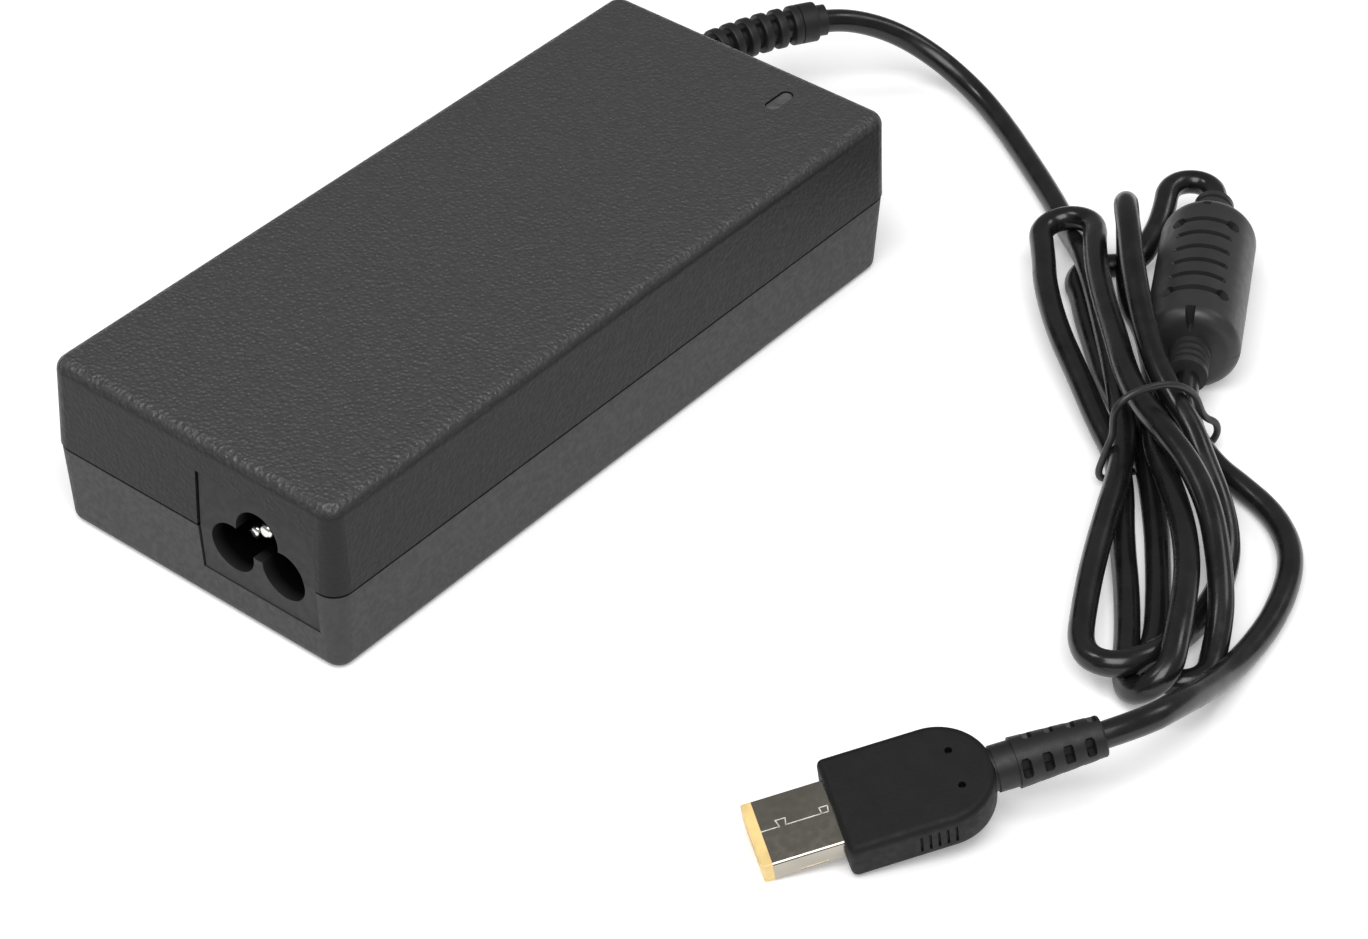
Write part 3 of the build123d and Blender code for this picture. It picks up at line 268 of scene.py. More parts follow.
FINISHES = {
    "case_top": case_top,
    "case_bottom": case_bottom,
    "label_film": lambda: plastic("label_film", grey(0.35), 0.35, 0.6 * MM, 0.004 * MM),
    "inlet_plastic": inlet_plastic,
    "pin_metal": lambda: metal("pin_metal", (0.82, 0.81, 0.78), 0.18),
    "light_pipe_resin": light_pipe,
    "led_resin": lambda: plastic("led_resin", (0.35, 0.6, 0.35), 0.2),
    "board_laminate": lambda: plastic("board_laminate", (0.03, 0.16, 0.06), 0.35, 0.3 * MM),
    "insulating_film": lambda: plastic("insulating_film", grey(0.05), 0.4, 1.0 * MM),
    "spreader_aluminium": lambda: metal("spreader_aluminium", (0.72, 0.72, 0.73), 0.38),
    "ceramic_white": lambda: plastic("ceramic_white", (0.8, 0.79, 0.74), 0.2),
    "disc_coating_green": lambda: plastic("disc_coating_green", (0.05, 0.2, 0.08), 0.4, 0.6 * MM),
    "disc_coating_blue": lambda: plastic("disc_coating_blue", (0.04, 0.14, 0.42), 0.4, 0.6 * MM),
    "box_capacitor_yellow": lambda: plastic("box_capacitor_yellow", (0.75, 0.58, 0.1), 0.4),
    "ferrite_black": lambda: plastic("ferrite_black", grey(0.035), 0.55, 0.2 * MM, 0.02 * MM),
    "copper_wire": lambda: metal("copper_wire", (0.72, 0.32, 0.14), 0.3),
    "bobbin_plastic": lambda: plastic("bobbin_plastic", grey(0.04), 0.5),
    "tape_yellow": lambda: plastic("tape_yellow", (0.78, 0.6, 0.08), 0.3, 1.0 * MM),
    "package_epoxy": lambda: plastic("package_epoxy", grey(0.02), 0.5, 0.15 * MM),
    "capacitor_sleeve": lambda: plastic("capacitor_sleeve", (0.02, 0.025, 0.06), 0.25, 1.5 * MM),
    "screw_steel": lambda: metal("screw_steel", (0.6, 0.6, 0.6), 0.3),
    "wire_insulation": lambda: plastic("wire_insulation", grey(0.06), 0.3),
    "relief_plastic": lambda: plastic("relief_plastic", grey(0.012), 0.5, 0.3 * MM, 0.02 * MM, 0.4),
    "cord_jacket": cord_jacket,
    "choke_plastic": lambda: plastic("choke_plastic", grey(0.028), 0.42, 0.4 * MM, 0.008 * MM),
    "tie_plastic": lambda: plastic("tie_plastic", grey(0.022), 0.4, 0.4 * MM, 0.008 * MM),
    "plug_plastic": lambda: plastic("plug_plastic", grey(0.009), 0.6, 0.3 * MM, 0.04 * MM, 0.22),
    "plug_metal": lambda: metal("plug_metal", (0.46, 0.43, 0.37), 0.15),
    # Painted highlight: a near-white copy of the shell's metal for the seam's folded edges.
    "seam_metal": lambda: metal("seam_metal", (0.95, 0.94, 0.9), 0.4),
    "tip_plastic": plug_tip,
    "insulator_plastic": lambda: plastic("insulator_plastic", (0.9, 0.68, 0.3), 0.5),
    "contact_gold": lambda: metal("contact_gold", (0.85, 0.62, 0.25), 0.2),
}
materials = {slot: make().material for slot, make in FINISHES.items()}

for subpart in frame["record"]["subparts"]:
    node = nodes[subpart["node"]]
    node.data.materials.clear()
    node.data.materials.append(materials[subpart["material_slot"]])

# ---------------------------------------------------------------- cord
FLOOR = 1.85              # height of the centreline of cord that lies on the floor


def half_turn(start, tip, end, steps=5):
    """Control points of a fold of the cord: half an ellipse from start over tip to end."""
    start, tip, end = (Vector(place) for place in (start, tip, end))
    middle = (start + end) / 2
    widen = 1 / cos(pi / steps / 2)
    points = []
    for step in range(steps):
        angle = pi * (step + 0.5) / steps
        reach = (start - middle) * cos(angle) + (tip - middle) * sin(angle)
        points.append(middle + reach * widen)
    return points


# Control points of the cord's centreline, in millimetres, in order from the case to the plug.
# Each row of the bundle is a run along it; a half_turn is the fold between two runs.
CORD_ROUTE = [
    # out through the strain relief, over the edge and down to the floor
    (66, 19, 13.5), (75, 17.6, 13.5), (83, 14.3, 13.5), (89.6, 10.4, 13.5), (95, 7.2, 12.6),
    (101, 2.6, 9.2), (104, -4, 5.4), (103.2, -12.4, 2.6), (99.5, -20, FLOOR), (93.3, -29.4, FLOOR),
    # under the second upper turn and into the tie
    (87, -38.5, FLOOR), (81.5, -45, 2.2), (77, -49.5, 4.3), (73, -53.5, 5.8), (68.5, -58, 5.7),
    (62, -64, 5.6), (56, -69.5, 5.5), (49, -75.5, 5.6),
    # first lower turn
    (42, -81, 6), (34.5, -85, 5.8), (26, -88.5, 5.5), (16.5, -92.7, 5),
    (8.5, -96.8, 4.6), (3.5, -99.7, 4.7), (1, -103, 5.2), (2, -107, 5.7), (7, -109, 5.5),
    (12, -109, 4.2), (17, -108.3, 2.2), (23, -107.5, FLOOR), (29, -106, 2), (34.5, -103.2, 3.2),
    (39, -98.8, 5.2), (42.3, -93.7, 7.6), (45.5, -89.5, 9.3), (48, -84.5, 10.8),
    # first upper turn, standing up
    (51, -80, 11.8), (55, -75.5, 12.8), (60, -70.5, 14.2), (65.3, -65.7, 15.6), (70, -62, 16.3),
    *half_turn((74.3, -58.2, 16.4), (80.7, -55.2, 9.3), (75.2, -59.4, 2.2)),
    (72.3, -62.2, FLOOR), (69.5, -66.3, FLOOR), (64, -71.3, FLOOR), (57, -76.5, 3),
    # second lower turn
    (50, -81, 4.8), (43, -85, 6.2), (36, -92, 7.4), (29.3, -98.7, 7.8), (22, -104.2, 8),
    (14.2, -108.4, 8.3), (8.8, -111, 7.9),
    *half_turn((6.3, -112.1, 6.9), (1.8, -111.2, 4.4), (4.1, -107, FLOOR)),
    (7, -104.8, FLOOR), (11.4, -102.2, FLOOR), (19, -97, FLOOR), (27.5, -90.5, FLOOR),
    (36.6, -84.4, 2.5), (41.7, -79.4, 2.9),
    # second upper turn
    (45, -74.5, 3.6), (50.5, -67.5, 4.6), (57.5, -58.8, 5), (65, -51.5, 5.2), (69.6, -48.1, 5.4),
    (73.2, -45.2, 5.4),
    *half_turn((74.2, -44.4, 5.5), (79.7, -45.2, 6.3), (78.5, -51.2, 7.4)),
    (74.4, -53.6, 8.3), (68.5, -58, 9), (62.2, -63.5, 9.6), (56, -69.5, 10), (50, -75, 10.4),
    # third lower turn
    (44.5, -81, 11), (40.5, -88, 11.4), (37, -94.5, 11), (32.7, -100.5, 9.6), (27.7, -105.2, 8),
    (21.3, -110.2, 6.2), (17.4, -112.4, 4.3), (14.2, -113.8, 2.9),
    *half_turn((13, -114.3, 2.2), (7.6, -112, FLOOR), (9.9, -106.6, FLOOR)),
    (13, -105.6, FLOOR), (18.2, -102.6, FLOOR), (25.5, -97.8, FLOOR), (33, -92.5, FLOOR),
    (41, -86, 2.6), (47.5, -79.7, 2.6),
    # along the floor, round and up into the choke
    (54.5, -69.8, FLOOR), (60.5, -63.8, FLOOR), (66, -58.3, FLOOR), (69.8, -55, FLOOR),
    (72, -52.3, FLOOR), (75.4, -51.4, FLOOR),
    (78.3, -53, FLOOR), (80.3, -55.5, 2), (82.5, -57, 3), (85.3, -56.7, 4.2),
    (88.4, -56.2, 5.5), (91.7, -54.9, 6.6), (94.4, -53.5, 7.2), (97.2, -53.7, 7.2), (99.2, -55.6, 7.2),
    (99.3, -58.1, 7.2), (97.9, -59.9, 7.2), (95.3, -61.2, 7.2),
    (86, -66.1, 7.2), (77.5, -70.5, 7.2), (68, -75.4, 7.2), (60.5, -79.3, 7),
    # under the tie and out to the plug
    (55, -82.5, 6), (52.6, -84.7, 4.8), (50.7, -87.3, 3), (48.7, -92.2, 1.9), (47.4, -97.2, FLOOR),
    (45.5, -103, FLOOR), (42, -108, FLOOR), (37.5, -111.5, FLOOR), (31, -114.2, FLOOR),
    (23.5, -116, FLOOR), (13.5, -117.2, 3), (4.5, -118.4, 6.5), (-3.5, -119, 10),
    (-10, -118.5, 11.4), (-16, -114.6, 10.5),
]


def add_cord():
    """The cord, one smooth curve through its strain reliefs and the choke."""
    curve = bpy.data.curves.new("cord", "CURVE")
    curve.dimensions = "3D"
    curve.bevel_depth = CORD_DIAMETER / 2
    curve.bevel_resolution = 8
    curve.resolution_u = 12
    curve.use_fill_caps = True
    spline = curve.splines.new("NURBS")
    spline.points.add(len(CORD_ROUTE) - 1)
    for point, place in zip(spline.points, CORD_ROUTE):
        point.co = (*(Vector(place) * MM), 1.0)
    spline.order_u = 3
    spline.use_endpoint_u = True
    spline.use_smooth = True
    curve.materials.append(materials["cord_jacket"])
    cord = bpy.data.objects.new("cord", curve)
    scene.collection.objects.link(cord)
    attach(cord, "root")
    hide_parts("output_cord", "cord_hank", "choke_lead", "plug_lead")
    return cord


cord = add_cord()

# ---------------------------------------------------------------- moulded pieces


CREASE = 35


def smooth(mesh, crease):
    """Smooth shading, broken at the edges that turn by more than crease degrees."""
    mesh.shade_smooth()
    mesh.set_sharp_from_angle(angle=radians(crease))


def piece(name, bm, slot, *replaced, crease=CREASE, finish=None):
    """Turn a mesh, in millimetres, into an object that stands in for nodes of the CAD model."""
    bmesh.ops.recalc_face_normals(bm, faces=bm.faces)
    bmesh.ops.scale(bm, vec=(MM, MM, MM), verts=bm.verts)
    mesh = bpy.data.meshes.new(name)
    bm.to_mesh(mesh)
    bm.free()
    smooth(mesh, crease)
    mesh.materials.append(materials[finish or slot])
    obj = bpy.data.objects.new(name, mesh)
    scene.collection.objects.link(obj)
    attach(obj, "root")
    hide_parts(*replaced)
    return obj


def skin(bm, rings, closed=False):
    """Faces between neighbouring rings of equally many points, capped unless it closes up."""
    loops = [[bm.verts.new(point) for point in ring] for ring in rings]
    following = loops[1:] + loops[:1] if closed else loops[1:]
    for loop, after in zip(loops, following):
        for index in range(len(loop)):
            past = (index + 1) % len(loop)
            bm.faces.new((loop[index], loop[past], after[past], after[index]))
    if not closed:
        bm.faces.new(list(reversed(loops[0])))
        bm.faces.new(loops[-1])


def lathe(bm, path, stations, radius, sides=96):
    """A solid round a path whose radius depends on the distance along it and the angle."""
    rings = []
    for distance in stations:
        centre, across, up = path(distance)
        rings.append([centre + (across * cos(turn) + up * sin(turn)) * radius(distance, turn)
                      for turn in (2 * pi * side / sides for side in range(sides))])
    skin(bm, rings)


def bore(bm, path, start, end, radius, sides=48):
    """The wall of a hole along a path, with a flat floor at each end."""
    lathe(bm, path, (start, end), lambda distance, turn: radius, sides)


def spread(start, end, step):
    """Evenly spaced stations from start to end, about step apart."""
    count = max(1, round((end - start) / step))
    return [start + (end - start) * index / count for index in range(count + 1)]


def away(turn, middle):
    """How far an angle is from the middle angle, in radians and never negative."""
    return abs((turn - middle + pi) % (2 * pi) - pi)


# Output strain relief: a square flange in the case, then ribs round a bend towards -Y
RELIEF_Y = 19.0
RELIEF_Z = 13.5
RELIEF_START = 60.9
RELIEF_BEND = 53.0
FLANGE_START_X = 55.2
FLANGE_LENGTH = 2.0
FLANGE_HALF = 4.5         # across its flats
FLANGE_CORNER = 5.8       # radius at its cut corners
COLLAR_START_X = 60.15
COLLAR_RADIUS = 3.5
COLLAR_NECK_RADIUS = 2.3
RIB_PITCH = 2.776
RIB_COUNT = 11
RIB_WIDTH = 1.55
RIB_RADIUS = 3.15
WEB_RADIUS = 2.65
WINDOW_RADIUS = 1.86
WEB_HALF_ANGLE = radians(15)
CUFF_RADIUS = 2.45
CUFF_LENGTH = 1.6
SHARP = 0.001             # two stations this close make a square step


def relief_path(distance):
    """The strain relief's centre, its outward direction in plan and its upward one."""
    angle = max(0.0, distance) / RELIEF_BEND
    outward = Vector((sin(angle), cos(angle), 0))
    centre = Vector((RELIEF_START + min(0.0, distance), RELIEF_Y - RELIEF_BEND, RELIEF_Z))
    return centre + outward * RELIEF_BEND, outward, Vector((0, 0, 1))


def relief_radius(distance, turn):
    """Flange, neck, collar, then ribs with webs along the top and bottom and a plain cuff."""
    along_x = RELIEF_START + distance
    if along_x <= FLANGE_START_X + FLANGE_LENGTH:
        return min(FLANGE_HALF / max(abs(cos(turn)), abs(sin(turn))), FLANGE_CORNER)
    if distance <= 0.0:
        return COLLAR_RADIUS if along_x >= COLLAR_START_X else COLLAR_NECK_RADIUS
    rib, place = divmod(distance, RIB_PITCH)
    if rib >= RIB_COUNT:
        return CUFF_RADIUS
    off = place - (RIB_PITCH - RIB_WIDTH / 2)
    if rib == RIB_COUNT - 1:
        off = max(0.0, off)
    if abs(off) < RIB_WIDTH / 2:
        crown = (1 - (2 * off / RIB_WIDTH) ** 6) ** 0.5
        return WEB_RADIUS + (RIB_RADIUS - WEB_RADIUS) * (0.45 + 0.55 * crown)
    in_web = away(turn, pi / 2) < WEB_HALF_ANGLE or away(turn, -pi / 2) < WEB_HALF_ANGLE
    return WEB_RADIUS if in_web else WINDOW_RADIUS


def add_output_relief():
    """The output strain relief, turned round its bend."""
    bm = bmesh.new()
    flange_start = FLANGE_START_X - RELIEF_START
    flange_end = flange_start + FLANGE_LENGTH
    collar_start = COLLAR_START_X - RELIEF_START
    stations = [flange_start, flange_end, flange_end + SHARP, collar_start - 2 * SHARP,
                collar_start, 0.0, SHARP]
    for rib in range(RIB_COUNT):
        start = (rib + 1) * RIB_PITCH - RIB_WIDTH
        if rib == RIB_COUNT - 1:
            start -= RIB_WIDTH / 2
        stations += [start - 0.01, start + 0.01, start + 0.06, start + 0.15, start + 0.3]
        end = (rib + 1) * RIB_PITCH
        stations += [end - 0.77, end - 0.3, end - 0.15, end - 0.06, end - 0.01, end + SHARP]
    stations.append(RIB_COUNT * RIB_PITCH + CUFF_LENGTH)
    lathe(bm, relief_path, stations, relief_radius)
    return piece("output_relief", bm, "relief_plastic", "output_strain_relief")


output_relief = add_output_relief()

# Choke: a barrel over the ferrite core, with six grooves across its top and a neck at each end
CHOKE_NEAR = Vector((63.8, -77.6, 7.12))
CHOKE_FAR = Vector((89.4, -64.3, 7.12))
CHOKE_LENGTH = (CHOKE_FAR - CHOKE_NEAR).length
CHOKE_ALONG = (CHOKE_FAR - CHOKE_NEAR) / CHOKE_LENGTH
CHOKE_RADIUS = 7.1
BARREL_START = -1.4       # the barrel reaches this far past the near point
SHOULDERS = (2.0, 3.0)    # rounding of its near and far ends
NECK_RADIUS = 3.0
NEAR_NECK = 7.0
FAR_NECK = 6.7
NECK_RINGS = (-5.6, -4.1, -2.6, CHOKE_LENGTH + 1.2, CHOKE_LENGTH + 5.3)
NECK_RING_DEPTH = 0.45
NECK_RING_HALF = 0.28
TOP_GROOVES = (5.0, 8.44, 11.88, 15.32, 18.76, 22.2)
GROOVE_WIDTH = 0.85
GROOVE_DEPTH = 0.8
GROOVE_MIDDLE = radians(95)
GROOVE_HALF_ANGLE = radians(34)
PIT_RADIUS = 0.95
PIT_DEPTH = 1.5
NOTCH = (26.4, 0.45)      # short recess beyond the grooves: its place and half its length
NOTCH_DEPTH = 0.7
SLOT_END = 0.4            # the slot in the near shoulder ends here
SLOT_FLOOR = 3.9
PARTING_DEPTH = 0.12      # the mould's parting line along the side
CAVITY = (2.4, 5.6)       # wall at the cavity's ends and the cavity's radius


def choke_path(distance):
    """The choke's centre, its level direction across and its upward one."""
    across = Vector((CHOKE_ALONG.y, -CHOKE_ALONG.x, 0))
    return CHOKE_NEAR + CHOKE_ALONG * distance, across, Vector((0, 0, 1))


def choke_radius(distance, turn):
    """Barrel with rounded shoulders, its moulded recesses, and the ringed necks."""
    from_near = distance - BARREL_START
    from_far = CHOKE_LENGTH - distance
    if min(from_near, from_far) < 0.0:
        ring = min(abs(distance - place) for place in NECK_RINGS)
        return NECK_RADIUS - (NECK_RING_DEPTH if ring < NECK_RING_HALF else 0.0)
    radius = CHOKE_RADIUS
    for inside, shoulder in ((from_near, SHOULDERS[0]), (from_far, SHOULDERS[1])):
        if inside < shoulder:
            radius -= shoulder - sqrt(shoulder ** 2 - (shoulder - inside) ** 2)
    from_top = away(turn, GROOVE_MIDDLE)
    if from_top < GROOVE_HALF_ANGLE:
        if min(abs(distance - place) for place in TOP_GROOVES) < GROOVE_WIDTH / 2:
            radius -= GROOVE_DEPTH
    for groove in (TOP_GROOVES[0], TOP_GROOVES[-1]):
        aside = (from_top - GROOVE_HALF_ANGLE) * CHOKE_RADIUS
        if (distance - groove) ** 2 + aside ** 2 < PIT_RADIUS ** 2:
            radius = CHOKE_RADIUS - PIT_DEPTH
    if abs(distance - NOTCH[0]) < NOTCH[1] and away(turn, radians(97)) < 0.07:
        radius -= NOTCH_DEPTH
    if distance < SLOT_END and away(turn, radians(96)) < 0.08:
        radius = min(radius, SLOT_FLOOR)
    if away(turn, 0.0) < 0.02:
        radius -= PARTING_DEPTH
    return radius


def add_choke():
    """The choke's overmould, hollow for the ferrite core."""
    bm = bmesh.new()
    near_end = BARREL_START
    stations = spread(-NEAR_NECK, near_end - 0.05, 0.14) + [near_end - SHARP]
    stations += [near_end + inside for inside in (0.0, 0.02, 0.08, 0.2, 0.4)]
    stations += spread(near_end + 0.55, CHOKE_LENGTH - 0.7, 0.17)
    stations += [CHOKE_LENGTH - inside for inside in (0.45, 0.25, 0.1, 0.02, 0.0)]
    stations += [CHOKE_LENGTH + SHARP]
    stations += spread(CHOKE_LENGTH + 0.1, CHOKE_LENGTH + FAR_NECK, 0.14)
    lathe(bm, choke_path, stations, choke_radius, sides=180)
    bore(bm, choke_path, CAVITY[0], CHOKE_LENGTH - CAVITY[0], CAVITY[1])
    return piece("choke", bm, "choke_plastic", "choke_overmold", crease=30)


choke = add_choke()

# Tie: a loop of coated wire round the waist of the hank, as (across, up) in its plane
TIE_CENTRE = Vector((45.6, -84.6, 0))
TIE_ACROSS = Vector((0.905, -0.425, 0))
TIE_WIRE_RADIUS = 0.52
TIE_LOOP = [(-1.1, 15.1), (-4.6, 15.3), (-7.0, 14.5), (-8.3, 12.9), (-8.3, 10.8), (-8.1, 8.6),
            (-8.8, 6.7), (-9.4, 4.6), (-10.0, 2.6), (-9.3, 1.0), (-6.5, 0.6), (-3, 0.58),
            (1, 0.58), (5, 0.6), (8.4, 1.0), (9.7, 2.8), (9.2, 5.0), (7.3, 6.3), (6.3, 8.0),
            (5.6, 10.0), (4.4, 12.0), (1.9, 14.1)]


def add_tie():
    """The tie's wire, a round section along a smooth closed curve through its loop."""
    count = len(TIE_LOOP)
    spots = []
    for index in range(count):
        before, here, after = (Vector(TIE_LOOP[(index + step) % count]) for step in (-1, 0, 1))
        for share in (0.0, 0.25, 0.5, 0.75):
            start, end = (before + here) / 2, (here + after) / 2
            spots.append(start * (1 - share) ** 2 + here * 2 * share * (1 - share)
                         + end * share ** 2)
    along_bundle = Vector((-TIE_ACROSS.y, TIE_ACROSS.x, 0))
    rings = []
    for index, spot in enumerate(spots):
        heading = (spots[(index + 1) % len(spots)] - spots[index - 1]).normalized()
        outward = TIE_ACROSS * heading.y - Vector((0, 0, 1)) * heading.x
        centre = TIE_CENTRE + TIE_ACROSS * spot.x + Vector((0, 0, spot.y))
        rings.append([centre + (outward * cos(turn) + along_bundle * sin(turn)) * TIE_WIRE_RADIUS
                      for turn in (2 * pi * side / 20 for side in range(20))])
    bm = bmesh.new()
    skin(bm, rings, closed=True)
    return piece("tie", bm, "tie_plastic", "cable_tie")


tie = add_tie()

# Plug: its own axes run towards the cord, across the flat top and out of it
PLUG_FRONT = Vector((-43.1, -94.5, 4.45))
PLUG_AXES = (Matrix.Rotation(radians(-36.5), 3, "Z") @ Matrix.Rotation(radians(-10.1), 3, "Y")
             @ Matrix.Rotation(radians(11.2), 3, "X"))
PLUG_HALF = 7.4
PLUG_LENGTH = 21.0
PLUG_THICKNESS = 6.1
PLUG_EDGE = 0.95          # rounding of the overmould's upper and lower edges
PLUG_CORNER = 0.9         # rounding of its front corners, seen from above
SHELL_HALF = (5.0, 1.75)  # across and up
SHELL_WALL = 0.35
SHELL_CORNER = 0.45
SHELL_LENGTH = 9.3
SHELL_SEAT = 7.0
SHELL_CLEARANCE = 0.03
GRIP_LINES = (9.1, 10.25, 11.4, 12.55, 13.7)
GRIP_HALF = (0.18, 1.6)   # half the width and half the height of a line
GRIP_DEPTH = 0.4
PINHOLES = ((16.1, 2.7), (16.1, -2.7))
PINHOLE_RADIUS = 0.5
PINHOLE_DEPTH = 1.2
RELIEF_DEPTH = 4.0        # how far the cord's strain relief reaches into the overmould
RELIEF_BORE = 2.86


def plug_point(along, across, up):
    """A place given in the plug's own axes."""
    return PLUG_FRONT + PLUG_AXES @ Vector((along, across, up))


def plug_path(distance):
    """The plug's centre and its directions across and up."""
    return plug_point(distance, 0, 0), PLUG_AXES.col[1], PLUG_AXES.col[2]


def arc(centre, radius, start, end, steps):
    """Points of an arc, angles in degrees."""
    return [(centre[0] + radius * cos(radians(start + (end - start) * step / steps)),
             centre[1] + radius * sin(radians(start + (end - start) * step / steps)))
            for step in range(steps + 1)]


def rectangle(half_width, half_height):
    """The corners of a rectangle about the origin."""
    return [(-half_width, -half_height), (half_width, -half_height),
            (half_width, half_height), (-half_width, half_height)]


def plug_outline(inset):
    """The overmould seen from above: square at the front, round where the cord leaves."""
    half = PLUG_HALF - inset
    middle = PLUG_LENGTH - PLUG_HALF
    corner = max(0.25, PLUG_CORNER - inset)
    outline = arc((inset + corner, half - corner), corner, 180, 90, 5)
    outline += arc((middle, 0), half, 90, -90, 40)
    outline += arc((inset + corner, -half + corner), corner, -90, -180, 5)
    return outline


def cut(obj, tool):
    """Takes the volume of a tool mesh, in millimetres, out of a piece."""
    mesh = bpy.data.meshes.new("tool")
    bmesh.ops.recalc_face_normals(tool, faces=tool.faces)
    bmesh.ops.scale(tool, vec=(MM, MM, MM), verts=tool.verts)
    tool.to_mesh(mesh)
    tool.free()
    cutter = bpy.data.objects.new("tool", mesh)
    scene.collection.objects.link(cutter)
    modifier = obj.modifiers.new("cut", "BOOLEAN")
    modifier.object = cutter
    modifier.solver = "EXACT"
    bpy.context.view_layer.update()
    result = bpy.data.meshes.new_from_object(obj.evaluated_get(
        bpy.context.evaluated_depsgraph_get()))
    obj.modifiers.clear()
    smooth(result, CREASE)
    obj.data = result
    bpy.data.objects.remove(cutter)


def add_plug_body():
    """The overmould, with rounded edges, pinholes in the top and grip lines in the near side."""
    bm = bmesh.new()
    levels = [(PLUG_THICKNESS / 2, PLUG_EDGE + 0.1)]     # keeps the shading of the top flat
    for angle in (0, 22, 45, 68, 90):
        inset = PLUG_EDGE * (1 - sin(radians(angle)))
        levels.append((PLUG_THICKNESS / 2 - PLUG_EDGE * (1 - cos(radians(angle))), inset))
    rings = levels + [(-up, inset) for up, inset in reversed(levels)]
    skin(bm, [[plug_point(x, y, up) for x, y in plug_outline(inset)] for up, inset in rings])
    body = piece("plug_body", bm, "plug_plastic", "plug_overmold")
    tool = bmesh.new()
    for pinhole in PINHOLES:
        rim = arc(pinhole, PINHOLE_RADIUS, 0, 345, 23)
        skin(tool, [[plug_point(x, y, up) for x, y in rim]
                    for up in (PLUG_THICKNESS / 2 - PINHOLE_DEPTH, PLUG_THICKNESS / 2 + 0.5)])
    for place in GRIP_LINES:
        line = rectangle(GRIP_HALF[0], GRIP_DEPTH)
        skin(tool, [[plug_point(place + x, -PLUG_HALF + y, up) for x, y in line]
                    for up in (-GRIP_HALF[1], GRIP_HALF[1])])
    seat = rectangle(SHELL_HALF[0] + SHELL_CLEARANCE, SHELL_HALF[1] + SHELL_CLEARANCE)
    skin(tool, [[plug_point(along, y, z) for y, z in seat] for along in (-1.0, SHELL_SEAT)])
    neck = arc((0, 0), RELIEF_BORE, 4, 355, 39)
    skin(tool, [[plug_point(along, y, z) for y, z in neck]
                for along in (PLUG_LENGTH - RELIEF_DEPTH - 0.02, PLUG_LENGTH + 2)])
    cut(body, tool)
    return body


plug_body = add_plug_body()


def rounded_box(half_width, half_height, corner):
    """The outline of a rounded rectangle."""
    outline = []
    for x_way, y_way, start in ((1, 1, 0), (-1, 1, 90), (-1, -1, 180), (1, -1, 270)):
        outline += arc((x_way * (half_width - corner), y_way * (half_height - corner)), corner,
                       start, start + 90, 5)
    return outline


# Latch slot in the shell's near side, as its range along the plug and its range of height
LATCH_ALONG = (-6.0, -2.2)
LATCH_UP = (-0.75, -1.15)

# The folded seam along the shell's top with its two dovetails, as (along, across) strokes
SEAM_SIDE = 0.25
SEAM_STROKES = [((-9.3, -0.1), (-6.9, -0.1)), ((-6.9, -0.1), (-7.2, 0.9)), ((-7.2, 0.9), (-5.9, 0.9)),
                ((-5.9, 0.9), (-6.1, -0.1)), ((-6.1, -0.1), (-1.4, -0.1)), ((-1.4, -0.1), (-1.5, 0.8)),
                ((-1.5, 0.8), (-0.4, 0.8)), ((-0.4, 0.8), (-0.55, -0.1)), ((-0.55, -0.1), (-1.4, -0.1))]
SEAM_WIDTH = 0.14
SEAM_PROUD = 0.012


def add_shell():
    """The plated shell, open at the front, with its seam and the latch slot in its side."""
    bm = bmesh.new()
    outer = rounded_box(*SHELL_HALF, SHELL_CORNER)
    inner = rounded_box(SHELL_HALF[0] - SHELL_WALL, SHELL_HALF[1] - SHELL_WALL, 0.2)
    rings = []
    for along, outline in ((-SHELL_LENGTH, outer), (SHELL_SEAT, outer), (SHELL_SEAT, inner),
                           (-SHELL_LENGTH, inner)):
        rings.append([plug_point(along, y, z) for y, z in outline])
    skin(bm, rings, closed=True)
    metal_shell = piece("shell", bm, "plug_metal", "plug_shell")
    tool = bmesh.new()
    slot = [(LATCH_ALONG[0], LATCH_UP[0]), (LATCH_ALONG[1], LATCH_UP[0]),
            (LATCH_ALONG[1], LATCH_UP[1]), (LATCH_ALONG[0], LATCH_UP[1])]
    skin(tool, [[plug_point(x, y, z) for x, z in slot] for y in (-5.2, -4.85)])
    cut(metal_shell, tool)
    return metal_shell


shell = add_shell()


def add_seam():
    """Folded edges along the seam, a hair proud of the shell, painted bright as a highlight."""
    bm = bmesh.new()
    for (start_x, start_y), (end_x, end_y) in SEAM_STROKES:
        start = Vector((start_x, start_y + SEAM_SIDE))
        end = Vector((end_x, end_y + SEAM_SIDE))
        heading = (end - start).normalized() * SEAM_WIDTH / 2
        aside = Vector((-heading.y, heading.x))
        corners = [start - heading - aside, end + heading - aside, end + heading + aside,
                   start - heading + aside]
        skin(bm, [[plug_point(corner.x, corner.y, SHELL_HALF[1] + up) for corner in corners]
                  for up in (-0.05, SEAM_PROUD)])
    return piece("shell_seam", bm, "plug_metal", "plug_shell", finish="seam_metal")


shell_seam = add_seam()

# The plug's strain relief: a neck inside the overmould, a collar and a sleeve with slots
BURIED_RADIUS = 2.8
COLLAR = 3.05             # radius between the overmould and the sleeve
SLEEVE_START = 23.7
SLEEVE_END = 35.4
SLEEVE_RADII = (3.35, 2.72)
SLEEVE_CHAMFER = (0.2, 0.12)
SLOT_ROWS = ((144, 24.7), (48, 26.0), (-36, 24.7), (-132, 26.0))      # angle, first slot
SLOTS_IN_ROW = 4
SLOT_PITCH = 2.83
SLOT_HALF = (0.62, 1.25)  # along the sleeve and round it
SLOT_DEPTH = 1.3


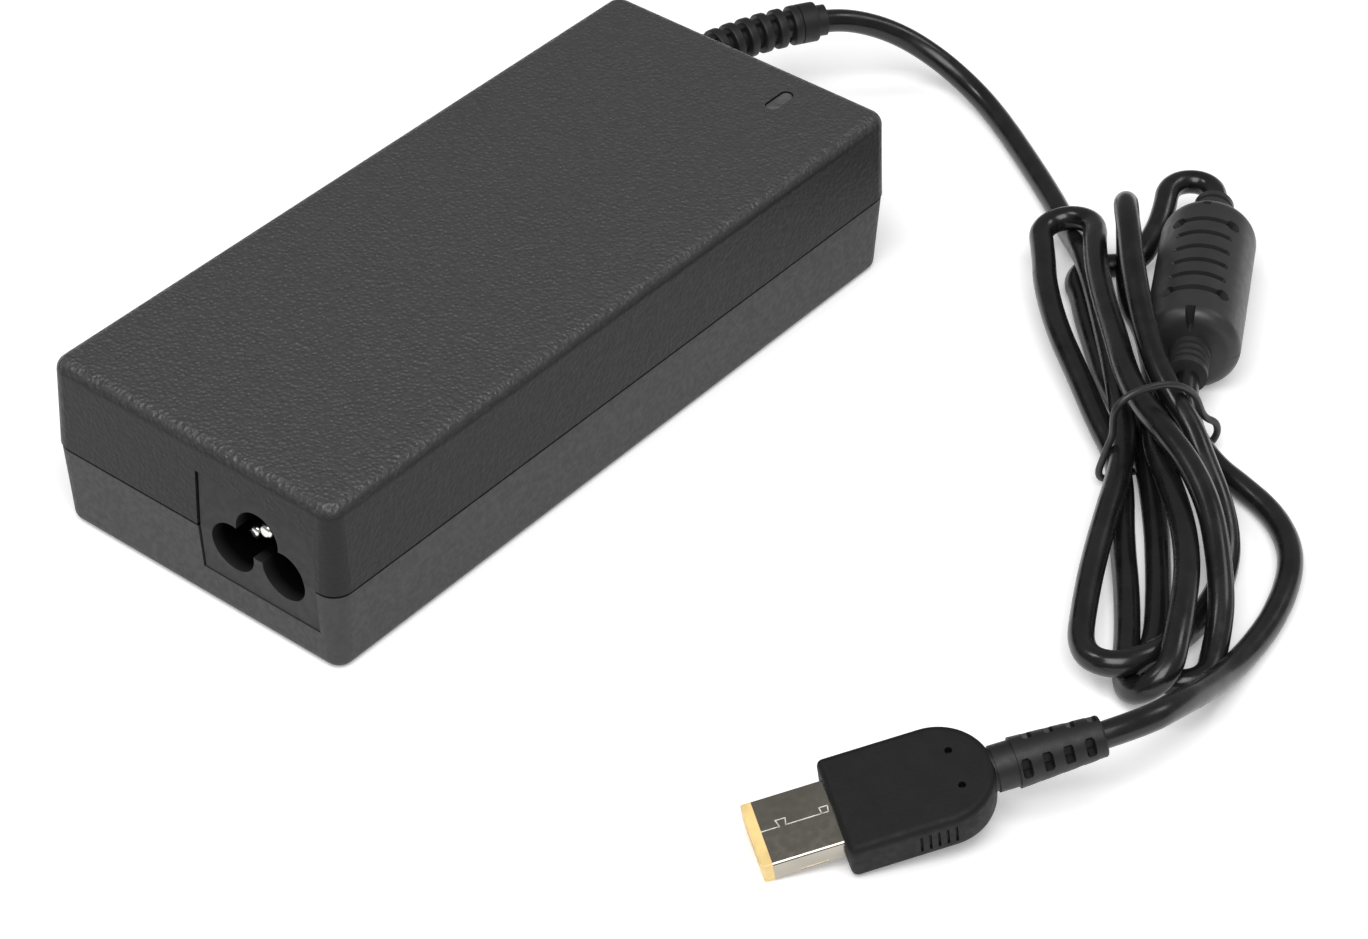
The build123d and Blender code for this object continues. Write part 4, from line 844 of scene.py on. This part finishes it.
def plug_relief_radius(distance, turn):
    """A neck, a step and a sleeve that tapers to the cord, with four rows of oval slots."""
    if distance < SLEEVE_START:
        return COLLAR if distance > PLUG_LENGTH else BURIED_RADIUS
    wide, narrow = SLEEVE_RADII
    radius = wide + (narrow - wide) * (distance - SLEEVE_START) / (SLEEVE_END - SLEEVE_START)
    length, depth = SLEEVE_CHAMFER
    if distance > SLEEVE_END - length:
        radius -= depth * (distance - SLEEVE_END + length) / length
    for angle, first in SLOT_ROWS:
        aside = away(turn, radians(angle)) * radius / SLOT_HALF[1]
        for number in range(SLOTS_IN_ROW):
            along = (distance - first - number * SLOT_PITCH) / SLOT_HALF[0]
            if along ** 4 + aside ** 4 < 1:
                return radius - SLOT_DEPTH
    return radius


def add_plug_relief():
    """The plug's strain relief, round the cord where it leaves the overmould."""
    bm = bmesh.new()
    stations = [PLUG_LENGTH - RELIEF_DEPTH, PLUG_LENGTH, PLUG_LENGTH + SHARP,
                SLEEVE_START - SHARP]
    stations += spread(SLEEVE_START, SLEEVE_END, 0.11)
    lathe(bm, plug_path, stations, plug_relief_radius, sides=120)
    return piece("plug_relief", bm, "relief_plastic", "plug_strain_relief")


plug_relief = add_plug_relief()

# ---------------------------------------------------------------- stage
TARGET = (0.02, -0.04, 0.0)
FLOOR_SIZE = 8.0
FLOOR_GLOW = 0.25


def add_floor():
    """A sheet of bright white paper that also glows a little, so shadows on it stay faint."""
    bpy.ops.mesh.primitive_plane_add(size=FLOOR_SIZE, location=(0, 0, 0))
    floor = bpy.context.object
    floor.name = "floor"
    finish = Finish("floor_paint", (0.93, 0.93, 0.93), 0.7, specular=0.2)
    finish.mottle(0.2, (0.92, 0.92, 0.92), (0.94, 0.94, 0.94))
    finish.shader.inputs["Emission Color"].default_value = (1, 1, 1, 1)
    finish.shader.inputs["Emission Strength"].default_value = FLOOR_GLOW
    floor.data.materials.append(finish.material)


def add_light(name, place, size, power):
    """A square soft box that faces the object."""
    data = bpy.data.lights.new(name, "AREA")
    data.shape = "SQUARE"
    data.size = size
    data.energy = power
    light = bpy.data.objects.new(name, data)
    light.location = place
    light.rotation_euler = (Vector(TARGET) - Vector(place)).to_track_quat("-Z", "Y").to_euler()
    scene.collection.objects.link(light)


def add_world(strength):
    """Even white light from all round."""
    world = bpy.data.worlds.new("studio")
    world.use_nodes = True
    background = world.node_tree.nodes["Background"]
    background.inputs["Color"].default_value = (1, 1, 1, 1)
    background.inputs["Strength"].default_value = strength
    scene.world = world


add_floor()
add_light("overhead", (-0.38, -0.28, 0.85), 0.7, 8.0)
add_light("left", (-0.25, 0.5, 0.85), 0.25, 1.4)
add_light("right", (0.7, -0.4, 0.8), 0.35, 1.4)
add_world(0.24)
scene.view_settings.view_transform = "Standard"
